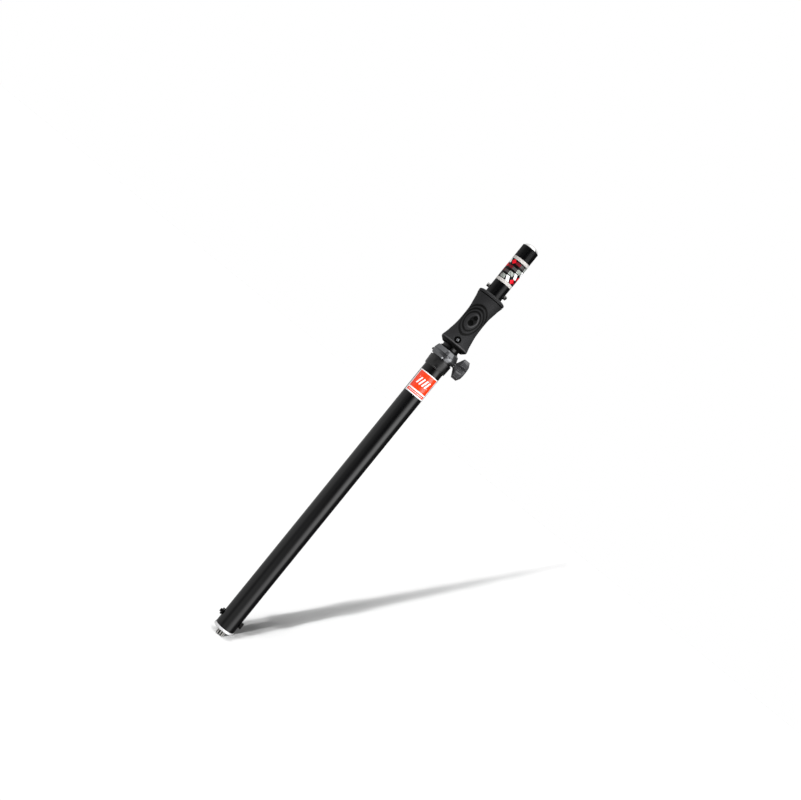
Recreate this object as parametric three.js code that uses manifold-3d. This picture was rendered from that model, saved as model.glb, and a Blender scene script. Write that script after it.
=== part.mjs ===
// A speaker pole in two sections: a lower tube that screws into a bass cabinet, and a thinner upper
// tube that a gas spring lifts out of it. Millimetres, +Z up. The origin lies on the pole's axis, in
// the plane of the seat under the base flange. The clamp knob points along +X, the front is -Y.

import * as THREE from 'three';
import { mergeVertices } from 'three/addons/utils/BufferGeometryUtils.js';
import Module from 'manifold-3d';

const wasm = await Module();
wasm.setup();

// Fits and fineness
const fitGap = 0.3; // between a round piece and the bore that holds it
const slideGap = 0.3; // between the upper tube and what guides it
const cutOverrun = 2; // how far a cutter runs past the face it opens
const tubeSides = 40;
const smallSides = 20;
const roundSteps = 4; // in a rounded edge

// Travel of the upper section, which sets the length of the gas spring
const mastTravel = 500;

// Tubes: the lower one follows from the upper one, the bushing between them and its own wall
const upperTubeDiameter = 38.1;
const upperTubeWall = 1.8;
const bushingWall = 0.925;
const lowerTubeWall = 1.65;
const lowerTubeLength = 726.2;
const tubeTopReach = 122.5; // from the top of the grip to the top of the upper tube
const tubeRimChamfer = 0.6;

// Base plug with its flange
const flangeOverhang = 1.05;
const flangeHeight = 5.8;
const flangeEdge = 1.2;
const plugDepth = 44.2;

// Threaded base stud
const studDiameter = 20;
const studThreadDepth = 1.3;
const studPitch = 2.5;
const studTurnsBelow = 5;
const studTurnsInside = 4;
const studTip = 1.5;
const studCrestShares = [0.4, 0.6]; // where a thread's crest starts and ends in its pitch

// Bolt across the foot of the lower tube, and its nut
const baseBoltHeight = 27.6;
const baseBoltDiameter = 8;
const baseBoltHeadFlats = 13;
const baseBoltHeadHeight = 5.6;
const baseNutFlats = 13;
const baseNutHeight = 4.6;
const baseBoltTip = 3.9;

// Sleeve under the clamp collar
const sleeveHeight = 25;
const sleeveTopWall = 3.1;
const sleeveFootWall = 1.8;
const sleeveFootEdge = 1;

// Clamp collar
const collarHeight = 23.1;
const collarLip = 4.8; // what stands over the end of the lower tube
const collarWall = 5.5;
const collarTopRound = [4.2, 8];
const collarFootRound = [2.6, 4];

// Guide bushing in the mouth of the lower tube
const bushingDepth = 36;
const bushingLipHeight = 2.6;
const bushingLipWidth = 0.65;

// Clamp screw: boss on the collar, pad, threaded insert, stud and knob
const bossFootRoom = 0.1;
const padDiameter = 10;
const padLength = 3.85;
const padTravel = 1.9; // what one and a half turns of the knob give
const insertLength = 5.4;
const bossWall = 1;
const bossEndWall = 0.8;
const knobStudDiameter = 7.8;
const knobStudInKnob = 12;
const knobSkirtWall = 1.2;
const knobFlareLength = 8.5;
const knobGripLength = 13;
const knobFaceLength = 4.9;
const knobCrown = 1.2;
const knobLobeOffset = 15;
const knobLobeRadius = 10.4;
const knobLobes = 3;
const knobSides = 36;

// Stations of the knob's body, as shares of its flare's or bevel's length and of its lobes' swell
const knobShoulderShares = [0.88, 0.94];
const knobBevelShares = [0.3, 0.92];
const knobFaceShare = 0.45;

// Screw head on the far side of the collar from the knob
const collarScrewDiameter = 3.2;
const collarScrewHead = 4.6;
const collarScrewHeadHeight = 2.1;

// Stickers: one wraps the front of the lower tube, one goes all round the upper tube
const labelThickness = 0.2;
const lowerLabelDrop = 15.1;
const lowerLabelHeight = 53.6;
const lowerLabelAngle = 142;
const wedgeShares = [-1, -0.5, 0, 0.5, 1]; // of half that angle
const upperLabelRise = 20;
const upperLabelHeight = 61.6;

// Grip: two shells, with a ring over them
const restGap = 6; // from the bushing to the grip when the pole is down
const gripHeight = 125.8;
const gripWaistWall = 5.1;
const gripFlare = 7.4;
const gripShellWall = 3;
const gripSplitGap = 0.3;
const gripFootSolid = 13.4;
const gripHeadSolid = 6;
const gripSteps = 14;
const gripPockets = 12;
const gripPocketDepth = 6.5;
const gripPocketWidth = 8.5;
const gripPocketReach = 5.5;
const gripPocketInset = 7.2; // from the rim to the middle of a pocket
const dishWidth = 17;
const dishHeight = 27;
const dishDepth = 2;
const dishHeightShare = 0.54;
const grooveHeight = 1.4;
const grooveDepth = 2.6;
const ringHeight = 8.9;
const ringRound = 4.5;
const ringTopFall = 1.6;

// Height and swell of the grip's outline, as shares of its height and of its flare
const gripFootShares = [[0, -0.02], [0.05, 0.92]];
const gripOutlineShares = [
  [0.081, 1.07], [0.129, 0.88], [0.161, 0.71], [0.208, 0.52], [0.256, 0.41], [0.351, 0.16],
  [0.446, 0.03], [0.565, 0], [0.684, 0.03], [0.779, 0.2], [0.874, 0.48], [0.953, 0.75], [1, 0.98],
];

// Screws that hold the grip to the upper tube, front and rear
const gripScrewRise = 18;
const gripScrewDiameter = 4;
const gripScrewHead = 7.8;
const gripScrewHeadHeight = 2.8;
const gripScrewBite = 4;
const gripScrewWell = 14.3;
const gripScrewWellDepth = 4.8;
const gripBossWall = 2;
const crossSlotWidth = 1.2;
const crossSlotLength = 4.8;
const crossSlotDepth = 1.3;

// Bolt across the upper tube, which carries the top eye of the gas spring
const upperBoltRise = 11.5;
const upperBoltDiameter = 5;
const upperBoltHead = 8.5;
const upperBoltHeadHeight = 4.8;
const upperNutFlats = 8;
const upperNutHeight = 4;
const upperBoltTip = 1.2;
const washerDiameter = 10;
const washerHeight = 1;

// End cap in the top of the upper tube
const capDepth = 20;
const capRise = 9.5;
const capSteps = 8;

// Glide on the foot of the upper tube
const glideFloorRoom = 16; // between the base plug and the glide when the pole is down
const glideFlangeHeight = 4;
const glideDepth = 18;
const glideBore = 24;

// Gas spring
const topEyeDiameter = 15;
const topEyeBelow = 15.2;
const topEyeAbove = 8;
const cylinderDiameter = 22;
const cylinderWall = 1.5;
const cylinderEndWall = 4;
const springEndRoom = 14;
const rodGuideHeight = 16;
const rodSealHeight = 5;
const pistonHeight = 12;
const rodDiameter = 10;
const rodExposed = 18;
const extensionDiameter = 16;
const footEyeBelow = 11.6;
const footEyeAbove = 18.4;

// Radii that follow from the sizes above
const upperTubeRadius = upperTubeDiameter / 2;
const upperBoreRadius = upperTubeRadius - upperTubeWall;
const bushingBore = upperTubeRadius + slideGap;
const bushingRadius = bushingBore + bushingWall;
const lowerBoreRadius = bushingRadius + fitGap;
const lowerTubeRadius = lowerBoreRadius + lowerTubeWall;
const flangeRadius = lowerTubeRadius + flangeOverhang;
const sleeveBore = lowerTubeRadius + fitGap;
const collarRadius = sleeveBore + collarWall;
const gripBore = upperTubeRadius + fitGap;
const gripWaistRadius = upperTubeRadius + gripWaistWall;
const gripRimRadius = gripWaistRadius + gripFlare;
const studRadius = studDiameter / 2;
const footEyeRadius = studRadius;
const cylinderBore = cylinderDiameter / 2 - cylinderWall;
const padRadius = padDiameter / 2;
const padBore = padRadius + fitGap;
const bossRadius = padBore + bossWall;
const skirtBore = bossRadius + fitGap;
const hubRadius = skirtBore + knobSkirtWall;

// Heights that follow from the sizes above
const lowerTubeTop = flangeHeight + lowerTubeLength;
const collarTop = lowerTubeTop + collarLip;
const collarFoot = collarTop - collarHeight;
const sleeveFoot = collarFoot - sleeveHeight;
const knobHeight = collarFoot + bossRadius + bossFootRoom;
const bushingTop = collarTop + bushingLipHeight;
const bushingFoot = lowerTubeTop - bushingDepth;
const lowerLabelTop = sleeveFoot - lowerLabelDrop;
const plugTop = flangeHeight + plugDepth;
const gripFoot = bushingTop + restGap;
const gripTop = gripFoot + gripHeight;
const ringTop = gripTop + grooveHeight + ringHeight;
const gripScrewHeight = gripFoot + gripScrewRise;
const upperBoltHeight = ringTop + upperBoltRise;
const upperLabelFoot = upperBoltHeight + upperLabelRise;
const upperTubeTop = ringTop + tubeTopReach;
const glideFoot = plugTop + glideFloorRoom;
const upperTubeFoot = glideFoot + glideFlangeHeight;
const cylinderTop = upperBoltHeight - topEyeBelow;
const springStack = rodGuideHeight + rodSealHeight + pistonHeight + cylinderEndWall;
const cylinderLength = mastTravel + springStack + 2 * springEndRoom;
const cylinderFoot = cylinderTop - cylinderLength;
const pistonTop = cylinderTop - cylinderEndWall - springEndRoom;
const pistonFoot = pistonTop - pistonHeight;
const rodFoot = cylinderFoot - rodExposed;
const footEyeTop = baseBoltHeight + footEyeAbove;

// Places along the clamp screw, from the pole's axis outwards
const padFront = upperTubeRadius + slideGap;
const padBack = padFront + padLength;
const insertFront = padBack + padTravel + fitGap;
const insertBack = insertFront + insertLength;
const bossFace = insertBack + bossEndWall;
const hubFace = collarRadius + fitGap;
const knobCore = bossFace + fitGap;
const flareEnd = hubFace + knobFlareLength;
const gripLobeEnd = flareEnd + knobGripLength;
const knobFace = gripLobeEnd + knobFaceLength;

// Finishes
const finish = (color, roughness, metalness) =>
  new THREE.MeshStandardMaterial({ color, roughness, metalness });
const blackPowder = () => finish('#1b1b1d', 0.4, 0.1);
const chrome = () => finish('#d9dadc', 0.12, 1);
const steel = () => finish('#8f9194', 0.35, 1);
const blackSteel = () => finish('#141414', 0.45, 0.6);
const greyNylon = () => finish('#77797b', 0.45, 0);
const blackNylon = () => finish('#1f1f20', 0.5, 0);
const rubberGrip = () => finish('#323234', 0.75, 0);
const vinyl = (color) => finish(color, 0.5, 0);

// A closed geometry as a solid: shared corners merged, empty triangles on the axis dropped.
function toSolid(geometry) {
  const bare = geometry.clone();
  bare.deleteAttribute('normal');
  bare.deleteAttribute('uv');
  const merged = mergeVertices(bare);
  const corners = merged.index.array;
  const faces = [];
  for (let i = 0; i < corners.length; i += 3) {
    const [a, b, c] = corners.slice(i, i + 3);
    if (a !== b && b !== c && c !== a) faces.push(a, b, c);
  }
  const vertProperties = new Float32Array(merged.attributes.position.array);
  return new wasm.Manifold(new wasm.Mesh({ numProp: 3, vertProperties, triVerts: new Uint32Array(faces) }));
}

function toGeometry(solid) {
  const mesh = solid.getMesh();
  const geometry = new THREE.BufferGeometry();
  geometry.setAttribute('position', new THREE.BufferAttribute(new Float32Array(mesh.vertProperties), 3));
  geometry.setIndex(new THREE.BufferAttribute(new Uint32Array(mesh.triVerts), 1));
  geometry.computeVertexNormals();
  return geometry;
}

function cut(body, ...tools) {
  return toGeometry(tools.reduce((solid, tool) => solid.subtract(toSolid(tool)), toSolid(body)));
}

function join(body, ...others) {
  return toGeometry(others.reduce((solid, other) => solid.add(toSolid(other)), toSolid(body)));
}

function common(body, other) {
  return toGeometry(toSolid(body).intersect(toSolid(other)));
}

// A body turned about Z from [radius, height] points that run up its outside and down its bore.
function turned(profile, sides = tubeSides) {
  const points = profile.map(([radius, height]) => new THREE.Vector2(radius, height));
  return new THREE.LatheGeometry(points, sides).rotateX(Math.PI / 2);
}

function bar(radius, from, to, sides = smallSides) {
  return turned([[0, from], [radius, from], [radius, to], [0, to]], sides);
}

function pipe(bore, radius, from, to, sides = tubeSides) {
  return turned([[bore, from], [radius, from], [radius, to], [bore, to], [bore, from]], sides);
}

const alongX = (geometry) => geometry.rotateY(Math.PI / 2);
const towardsFront = (geometry) => geometry.rotateX(Math.PI / 2);

// A bar across the whole pole along X, at one height: the cutter for every bolt hole.
function crossHole(radius, reach, height) {
  return alongX(bar(radius, -reach, reach)).translate(0, 0, height);
}

// A hexagonal prism along Z, as wide as its flats, with two corners on the Y axis.
function hexPrism(flats, height) {
  const outline = new THREE.Shape();
  const corner = flats / Math.sqrt(3);
  for (let i = 0; i < 6; i += 1) {
    const angle = Math.PI / 6 + (i * Math.PI) / 3;
    const step = i === 0 ? 'moveTo' : 'lineTo';
    outline[step](corner * Math.cos(angle), corner * Math.sin(angle));
  }
  outline.closePath();
  return new THREE.ExtrudeGeometry(outline, { depth: height, bevelEnabled: false });
}

// Points of a quarter of an ellipse, from the low outer point to the top inner one.
function quarterRound(radius, height, [across, up], steps) {
  const points = [];
  for (let i = 0; i <= steps; i += 1) {
    const angle = (i / steps) * (Math.PI / 2);
    points.push([radius - across + across * Math.cos(angle), height - up + up * Math.sin(angle)]);
  }
  return points;
}

function piece(name, geometry, material) {
  const mesh = new THREE.Mesh(geometry, material);
  mesh.name = name;
  return mesh;
}

// Lower section

function basePlug() {
  const bore = studRadius + fitGap;
  const spigot = lowerBoreRadius - fitGap;
  const body = turned([
    [bore, 0], [flangeRadius - flangeEdge, 0], [flangeRadius, flangeEdge],
    [flangeRadius, flangeHeight - flangeEdge / 2], [flangeRadius - flangeEdge / 2, flangeHeight],
    [spigot, flangeHeight], [spigot, plugTop], [bore, plugTop], [bore, 0],
  ]);
  const boltHole = crossHole(baseBoltDiameter / 2 + fitGap, flangeRadius, baseBoltHeight);
  return piece('base_plug', cut(body, boltHole), chrome());
}

function baseStud() {
  const root = studRadius - studThreadDepth;
  const foot = -studTurnsBelow * studPitch - studTip;
  const profile = [[0, foot], [root, foot], [root, foot + studTip]];
  for (let turn = -studTurnsBelow; turn < studTurnsInside; turn += 1) {
    const height = turn * studPitch;
    for (const share of studCrestShares) profile.push([studRadius, height + studPitch * share]);
    profile.push([root, height + studPitch]);
  }
  profile.push([0, studTurnsInside * studPitch]);
  return piece('base_stud', turned(profile, smallSides), chrome());
}

function lowerTube() {
  const body = pipe(lowerBoreRadius, lowerTubeRadius, flangeHeight, lowerTubeTop);
  const boltHole = crossHole(baseBoltDiameter / 2 + fitGap, flangeRadius, baseBoltHeight);
  const padHole = alongX(bar(padBore, 0, collarRadius)).translate(0, 0, knobHeight);
  const screwHole = alongX(bar(collarScrewDiameter / 2 + fitGap, -collarRadius, 0))
    .translate(0, 0, knobHeight);
  return piece('lower_tube', cut(body, boltHole, padHole, screwHole), blackPowder());
}

function baseBolt() {
  const seat = lowerTubeRadius + fitGap;
  const head = hexPrism(baseBoltHeadFlats, baseBoltHeadHeight).translate(0, 0, seat);
  const tip = seat + baseNutHeight + baseBoltTip;
  const shank = bar(baseBoltDiameter / 2, -tip, seat + baseBoltHeadHeight / 2);
  const mesh = piece('base_bolt', alongX(join(head, shank)), blackSteel());
  mesh.position.z = baseBoltHeight;
  return mesh;
}

function baseNut() {
  const seat = lowerTubeRadius + fitGap;
  const block = hexPrism(baseNutFlats, baseNutHeight).translate(0, 0, -seat - baseNutHeight);
  const bore = bar(baseBoltDiameter / 2 + fitGap, -seat - baseNutHeight - cutOverrun, 0);
  const mesh = piece('base_bolt_nut', alongX(cut(block, bore).rotateZ(Math.PI / 6)), blackSteel());
  mesh.position.z = baseBoltHeight;
  return mesh;
}

function tubeSleeve() {
  const foot = sleeveBore + sleeveFootWall;
  const body = turned([
    [sleeveBore, sleeveFoot], [foot - sleeveFootEdge, sleeveFoot], [foot, sleeveFoot + sleeveFootEdge],
    [sleeveBore + sleeveTopWall, collarFoot], [sleeveBore, collarFoot], [sleeveBore, sleeveFoot],
  ]);
  return piece('tube_sleeve', body, blackNylon());
}

function clampCollar() {
  const [footAcross, footUp] = collarFootRound;
  const mouth = bushingRadius + fitGap;
  const ring = turned([
    [sleeveBore, collarFoot], [collarRadius - footAcross, collarFoot], [collarRadius, collarFoot + footUp],
    ...quarterRound(collarRadius, collarTop, collarTopRound, roundSteps),
    [mouth, collarTop], [mouth, lowerTubeTop + fitGap], [sleeveBore, lowerTubeTop + fitGap],
    [sleeveBore, collarFoot],
  ]);
  const boss = alongX(bar(bossRadius, sleeveBore + collarWall / 2, bossFace))
    .translate(0, 0, knobHeight);
  const bore = alongX(bar(padBore, 0, insertBack)).translate(0, 0, knobHeight);
  const studHole = alongX(bar(knobStudDiameter / 2 + fitGap, 0, bossFace + cutOverrun))
    .translate(0, 0, knobHeight);
  const screwHole = alongX(bar(collarScrewDiameter / 2 + fitGap, -collarRadius - cutOverrun, 0))
    .translate(0, 0, knobHeight);
  return piece('clamp_collar', cut(join(ring, boss), bore, studHole, screwHole), greyNylon());
}

function clampInsert() {
  const bore = knobStudDiameter / 2 + fitGap;
  const nut = pipe(bore, padRadius, insertFront, insertBack - fitGap, smallSides);
  const mesh = piece('clamp_insert', alongX(nut), steel());
  mesh.position.z = knobHeight;
  return mesh;
}

function collarScrew() {
  const headFoot = collarRadius + fitGap;
  const headTop = headFoot + collarScrewHeadHeight;
  const head = collarScrewHead / 2;
  const shank = collarScrewDiameter / 2;
  const body = turned([
    [0, lowerBoreRadius + fitGap], [shank, lowerBoreRadius + fitGap], [shank, headFoot], [head, headFoot],
    [head, headFoot + collarScrewHeadHeight / 2], [head / 2, headTop], [0, headTop],
  ], smallSides);
  const mesh = piece('collar_screw', body.rotateY(-Math.PI / 2), blackSteel());
  mesh.position.z = knobHeight;
  return mesh;
}

function guideBushing() {
  const lip = bushingRadius + bushingLipWidth;
  const body = turned([
    [bushingBore, bushingFoot], [bushingRadius, bushingFoot], [bushingRadius, collarTop],
    [lip, collarTop], [lip, bushingTop], [bushingBore, bushingTop], [bushingBore, bushingFoot],
  ]);
  const padHole = alongX(bar(padBore, 0, collarRadius)).translate(0, 0, knobHeight);
  return piece('guide_bushing', cut(body, padHole), blackNylon());
}

// The front sticker is a piece of a thin tube, cut out by a wedge about the front.
function lowerLabel() {
  const bore = lowerTubeRadius + fitGap;
  const half = THREE.MathUtils.degToRad(lowerLabelAngle / 2);
  const reach = 2 * lowerTubeRadius;
  const wedge = new THREE.Shape();
  wedge.moveTo(0, 0);
  for (const share of wedgeShares) {
    wedge.lineTo(reach * Math.sin(half * share), -reach * Math.cos(half * share));
  }
  wedge.closePath();
  const span = lowerLabelHeight + 2 * cutOverrun;
  const block = new THREE.ExtrudeGeometry(wedge, { depth: span, bevelEnabled: false })
    .translate(0, 0, lowerLabelTop - lowerLabelHeight - cutOverrun);
  const tube = pipe(bore, bore + labelThickness, lowerLabelTop - lowerLabelHeight, lowerLabelTop);
  return piece('lower_label', common(tube, block), vinyl('#e2481f'));
}

function footEye() {
  const body = bar(footEyeRadius, baseBoltHeight - footEyeBelow, footEyeTop);
  const hole = crossHole(baseBoltDiameter / 2 + fitGap, footEyeRadius + cutOverrun, baseBoltHeight);
  return piece('rod_foot_eye', cut(body, hole), steel());
}

function rodExtension() {
  return piece('rod_extension', bar(extensionDiameter / 2, footEyeTop, rodFoot), steel());
}

function springRod() {
  return piece('spring_rod', bar(rodDiameter / 2, rodFoot, pistonFoot), chrome());
}

function springPiston() {
  return piece('spring_piston', bar(cylinderBore - fitGap, pistonFoot, pistonTop), steel());
}

// Upper section

function upperTube() {
  const chamfer = tubeRimChamfer;
  const body = turned([
    [upperBoreRadius, upperTubeFoot], [upperTubeRadius, upperTubeFoot],
    [upperTubeRadius, upperTubeTop - chamfer], [upperTubeRadius - chamfer, upperTubeTop],
    [upperBoreRadius, upperTubeTop], [upperBoreRadius, upperTubeFoot],
  ]);
  const boltHole = crossHole(upperBoltDiameter / 2 + fitGap, gripRimRadius, upperBoltHeight);
  const screwHole = towardsFront(bar(gripScrewDiameter / 2 + fitGap, -gripRimRadius, gripRimRadius))
    .translate(0, 0, gripScrewHeight);
  return piece('upper_tube', cut(body, boltHole, screwHole), blackPowder());
}

function endCap() {
  const radius = upperBoreRadius - fitGap;
  const foot = upperTubeTop - capDepth;
  const dome = quarterRound(radius, upperTubeTop + capRise, [radius, capRise], capSteps);
  return piece('end_cap', turned([[0, foot], [radius, foot], ...dome]), chrome());
}

function mastGlide() {
  const flange = lowerBoreRadius - slideGap;
  const spigot = upperBoreRadius - fitGap;
  const bore = glideBore / 2;
  const body = turned([
    [bore, glideFoot], [flange, glideFoot], [flange, upperTubeFoot], [spigot, upperTubeFoot],
    [spigot, upperTubeFoot + glideDepth], [bore, upperTubeFoot + glideDepth], [bore, glideFoot],
  ]);
  return piece('mast_glide', body, blackNylon());
}

const gripPoint = ([up, out]) => [gripWaistRadius + gripFlare * out, gripFoot + gripHeight * up];

// The grip's outside as a smooth curve through its outline, from the rim at its foot to its top.
function gripOutline() {
  const through = gripOutlineShares.map((share) => new THREE.Vector2(...gripPoint(share)));
  return new THREE.SplineCurve(through).getPoints(gripSteps).map(({ x, y }) => [x, y]);
}

// The hollow between the shells and the tube, between a solid foot and a solid head.
function gripHollow() {
  const floor = gripFoot + gripFootSolid;
  const roof = gripTop - gripHeadSolid;
  const bore = gripBore - fitGap;
  const wall = gripOutline().filter(([, height]) => height > floor && height < roof)
    .map(([radius, height]) => [Math.max(radius - gripShellWall, gripBore), height]);
  const [first] = wall;
  const last = wall[wall.length - 1];
  return turned([[bore, floor], [first[0], floor], ...wall, [last[0], roof], [bore, roof], [bore, floor]]);
}

function gripPocket(index) {
  const [depth, reach] = [gripPocketDepth + cutOverrun, gripPocketReach];
  const middle = gripRimRadius - gripPocketInset;
  const turn = ((index + 0.5) / gripPockets) * 2 * Math.PI;
  return new THREE.BoxGeometry(reach, gripPocketWidth, depth)
    .translate(middle, 0, gripFoot - cutOverrun + depth / 2)
    .rotateZ(turn);
}

// The outside radius of the grip at a height, between the points of its outline.
function gripRadiusAt(height) {
  const outline = gripOutline();
  const above = outline.findIndex((point) => point[1] >= height);
  const [lowRadius, low] = outline[above - 1];
  const [highRadius, high] = outline[above];
  return lowRadius + ((highRadius - lowRadius) * (height - low)) / (high - low);
}

// Something made along +Z, laid along -Y and along +Y at one height: front and rear alike.
function frontAndRear(make, height) {
  return [1, -1].map((side) => make().rotateX((side * Math.PI) / 2).translate(0, 0, height));
}

const wellFloor = () => gripRadiusAt(gripScrewHeight) - gripScrewWellDepth;

// Both shells in one: the spool, less its hollow, screw wells and holes, pockets and dishes.
function wholeGrip() {
  const skin = turned([
    [gripBore, gripFoot], ...gripFootShares.map(gripPoint), ...gripOutline(),
    [gripBore, gripTop], [gripBore, gripFoot],
  ]);
  const boss = () => bar(gripScrewWell / 2 + gripBossWall, 0, gripRimRadius);
  const hollow = cut(gripHollow(), ...frontAndRear(boss, gripScrewHeight));
  const well = () => bar(gripScrewWell / 2, wellFloor(), gripRimRadius + cutOverrun);
  const hole = () => bar(gripScrewDiameter / 2 + fitGap, 0, gripRimRadius);
  const dishCenter = gripFoot + gripHeight * dishHeightShare;
  const dish = () => new THREE.SphereGeometry(1, 12, 8)
    .scale(dishWidth / 2, dishHeight / 2, dishDepth)
    .translate(0, 0, gripRadiusAt(dishCenter));
  const pockets = Array.from({ length: gripPockets }, (_, index) => gripPocket(index));
  return cut(
    skin, hollow, ...pockets, ...frontAndRear(well, gripScrewHeight),
    ...frontAndRear(hole, gripScrewHeight), ...frontAndRear(dish, dishCenter),
  );
}

// One shell: the half of the whole grip on one side of the split, -1 in front and 1 behind.
function gripShell(name, side) {
  const reach = 2 * gripRimRadius;
  const half = new THREE.BoxGeometry(2 * reach, reach, gripHeight + 2 * cutOverrun)
    .translate(0, (side * (reach + gripSplitGap)) / 2, gripFoot + gripHeight / 2);
  return piece(name, common(wholeGrip(), half), rubberGrip());
}

function gripRing() {
  const neck = gripRimRadius - grooveDepth;
  const lip = gripTop + grooveHeight;
  const shoulder = ringTop - ringTopFall;
  const body = turned([
    [gripBore, gripTop], [neck, gripTop], [neck, lip], [gripRimRadius, lip],
    ...quarterRound(gripRimRadius, shoulder, [ringRound, ringRound], roundSteps),
    [gripBore, ringTop], [gripBore, gripTop],
  ]);
  return piece('grip_ring', body, rubberGrip());
}

// A pan-head screw along its own +Z, with a cross slot in its head.
function gripScrew(name, side) {
  const seat = wellFloor() + fitGap;
  const top = seat + gripScrewHeadHeight;
  const shank = gripScrewDiameter / 2;
  const head = gripScrewHead / 2;
  const tip = upperBoreRadius - gripScrewBite;
  const body = turned([
    [0, tip], [shank, tip + gripScrewDiameter / 2], [shank, seat], [head, seat],
    [head, top - gripScrewHeadHeight / 2], [head / 2, top], [0, top],
  ], smallSides);
  const slot = [crossSlotLength, crossSlotWidth, 2 * crossSlotDepth];
  const along = new THREE.BoxGeometry(...slot).translate(0, 0, top);
  const across = new THREE.BoxGeometry(...slot).rotateZ(Math.PI / 2).translate(0, 0, top);
  const mesh = piece(name, cut(body, along, across), steel());
  mesh.rotation.x = (-side * Math.PI) / 2;
  mesh.position.z = gripScrewHeight;
  return mesh;
}

function upperBolt() {
  const seat = upperTubeRadius + washerHeight + 2 * fitGap;
  const shank = upperBoltDiameter / 2;
  const head = upperBoltHead / 2;
  const edge = head / 8;
  const body = turned([
    [0, -seat - upperBoltHeadHeight], [head - edge, -seat - upperBoltHeadHeight],
    [head, -seat - upperBoltHeadHeight + edge], [head, -seat], [shank, -seat],
    [shank, seat + upperNutHeight + upperBoltTip], [0, seat + upperNutHeight + upperBoltTip],
  ], smallSides);
  const mesh = piece('upper_bolt', alongX(body), chrome());
  mesh.position.z = upperBoltHeight;
  return mesh;
}

function upperNut() {
  const seat = upperTubeRadius + washerHeight + 2 * fitGap;
  const block = hexPrism(upperNutFlats, upperNutHeight).translate(0, 0, seat);
  const bore = bar(upperBoltDiameter / 2 + fitGap, 0, seat + upperNutHeight + cutOverrun);
  const mesh = piece('upper_bolt_nut', alongX(cut(block, bore)), chrome());
  mesh.position.z = upperBoltHeight;
  return mesh;
}

function upperWasher(name, side) {
  const seat = upperTubeRadius + fitGap;
  const bore = upperBoltDiameter / 2 + fitGap;
  const ring = pipe(bore, washerDiameter / 2, seat, seat + washerHeight, smallSides);
  const mesh = piece(name, ring.rotateY((side * Math.PI) / 2), chrome());
  mesh.position.z = upperBoltHeight;
  return mesh;
}

function upperLabel() {
  const bore = upperTubeRadius + fitGap;
  const band = pipe(bore, bore + labelThickness, upperLabelFoot, upperLabelFoot + upperLabelHeight);
  return piece('upper_label', band, vinyl('#8a8782'));
}

function springTopEye() {
  const radius = topEyeDiameter / 2;
  const body = bar(radius, cylinderTop, upperBoltHeight + topEyeAbove);
  const hole = crossHole(upperBoltDiameter / 2 + fitGap, radius + cutOverrun, upperBoltHeight);
  return piece('spring_top_eye', cut(body, hole), steel());
}

function springCylinder() {
  const radius = cylinderDiameter / 2;
  const roof = cylinderTop - cylinderEndWall;
  const body = turned([
    [cylinderBore, cylinderFoot], [radius, cylinderFoot], [radius, cylinderTop], [0, cylinderTop],
    [0, roof], [cylinderBore, roof], [cylinderBore, cylinderFoot],
  ]);
  return piece('spring_cylinder', body, blackPowder());
}

function rodGuide() {
  const bore = rodDiameter / 2 + slideGap;
  const body = pipe(bore, cylinderBore - fitGap, cylinderFoot, cylinderFoot + rodGuideHeight, smallSides);
  return piece('rod_guide', body, steel());
}

function rodSeal() {
  const foot = cylinderFoot + rodGuideHeight;
  const bore = rodDiameter / 2 + slideGap;
  const body = pipe(bore, cylinderBore - fitGap, foot, foot + rodSealHeight, smallSides);
  return piece('rod_seal', body, blackNylon());
}

// Clamp screw, made along its own +Z, which the group turns to +X

function clampPad() {
  const block = bar(padRadius, 0, padBack);
  const hollow = alongX(bar(padFront, -padBore, padBore, tubeSides));
  return piece('clamp_pad', cut(block, hollow), greyNylon());
}

function knobStud() {
  const tip = padBack + fitGap;
  const end = knobCore + knobStudInKnob - fitGap;
  return piece('knob_stud', bar(knobStudDiameter / 2, tip, end), steel());
}

// The outline of the lobed knob: round lobes about a core that is as wide as where they meet it.
function lobeRadius(angle) {
  const period = (2 * Math.PI) / knobLobes;
  const offset = angle - Math.PI / 2;
  const fromLobe = offset - period * Math.round(offset / period);
  const core = Math.sqrt(knobLobeOffset ** 2 - knobLobeRadius ** 2);
  const inside = knobLobeRadius ** 2 - (knobLobeOffset * Math.sin(fromLobe)) ** 2;
  if (inside <= 0) return core;
  return Math.max(core, knobLobeOffset * Math.cos(fromLobe) + Math.sqrt(inside));
}

// Rings of points at [height, share] stations, from the round hub (0) to the full lobes (1),
// closed by a point at each end.
function lobedBody(stations, footHeight, crownHeight) {
  const positions = [0, 0, footHeight];
  for (const [height, share] of stations) {
    for (let i = 0; i < knobSides; i += 1) {
      const angle = (i / knobSides) * 2 * Math.PI;
      const radius = THREE.MathUtils.lerp(hubRadius, lobeRadius(angle), share);
      positions.push(radius * Math.cos(angle), radius * Math.sin(angle), height);
    }
  }
  positions.push(0, 0, crownHeight);
  const crown = positions.length / 3 - 1;
  const faces = [];
  for (let i = 0; i < knobSides; i += 1) {
    const next = (i + 1) % knobSides;
    faces.push(0, 1 + next, 1 + i);
    for (let ring = 0; ring < stations.length - 1; ring += 1) {
      const low = 1 + ring * knobSides;
      const high = low + knobSides;
      faces.push(low + i, low + next, high + i, low + next, high + next, high + i);
    }
    const last = 1 + (stations.length - 1) * knobSides;
    faces.push(last + i, last + next, crown);
  }
  const geometry = new THREE.BufferGeometry();
  geometry.setAttribute('position', new THREE.BufferAttribute(new Float32Array(positions), 3));
  geometry.setIndex(faces);
  return geometry;
}

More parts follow.
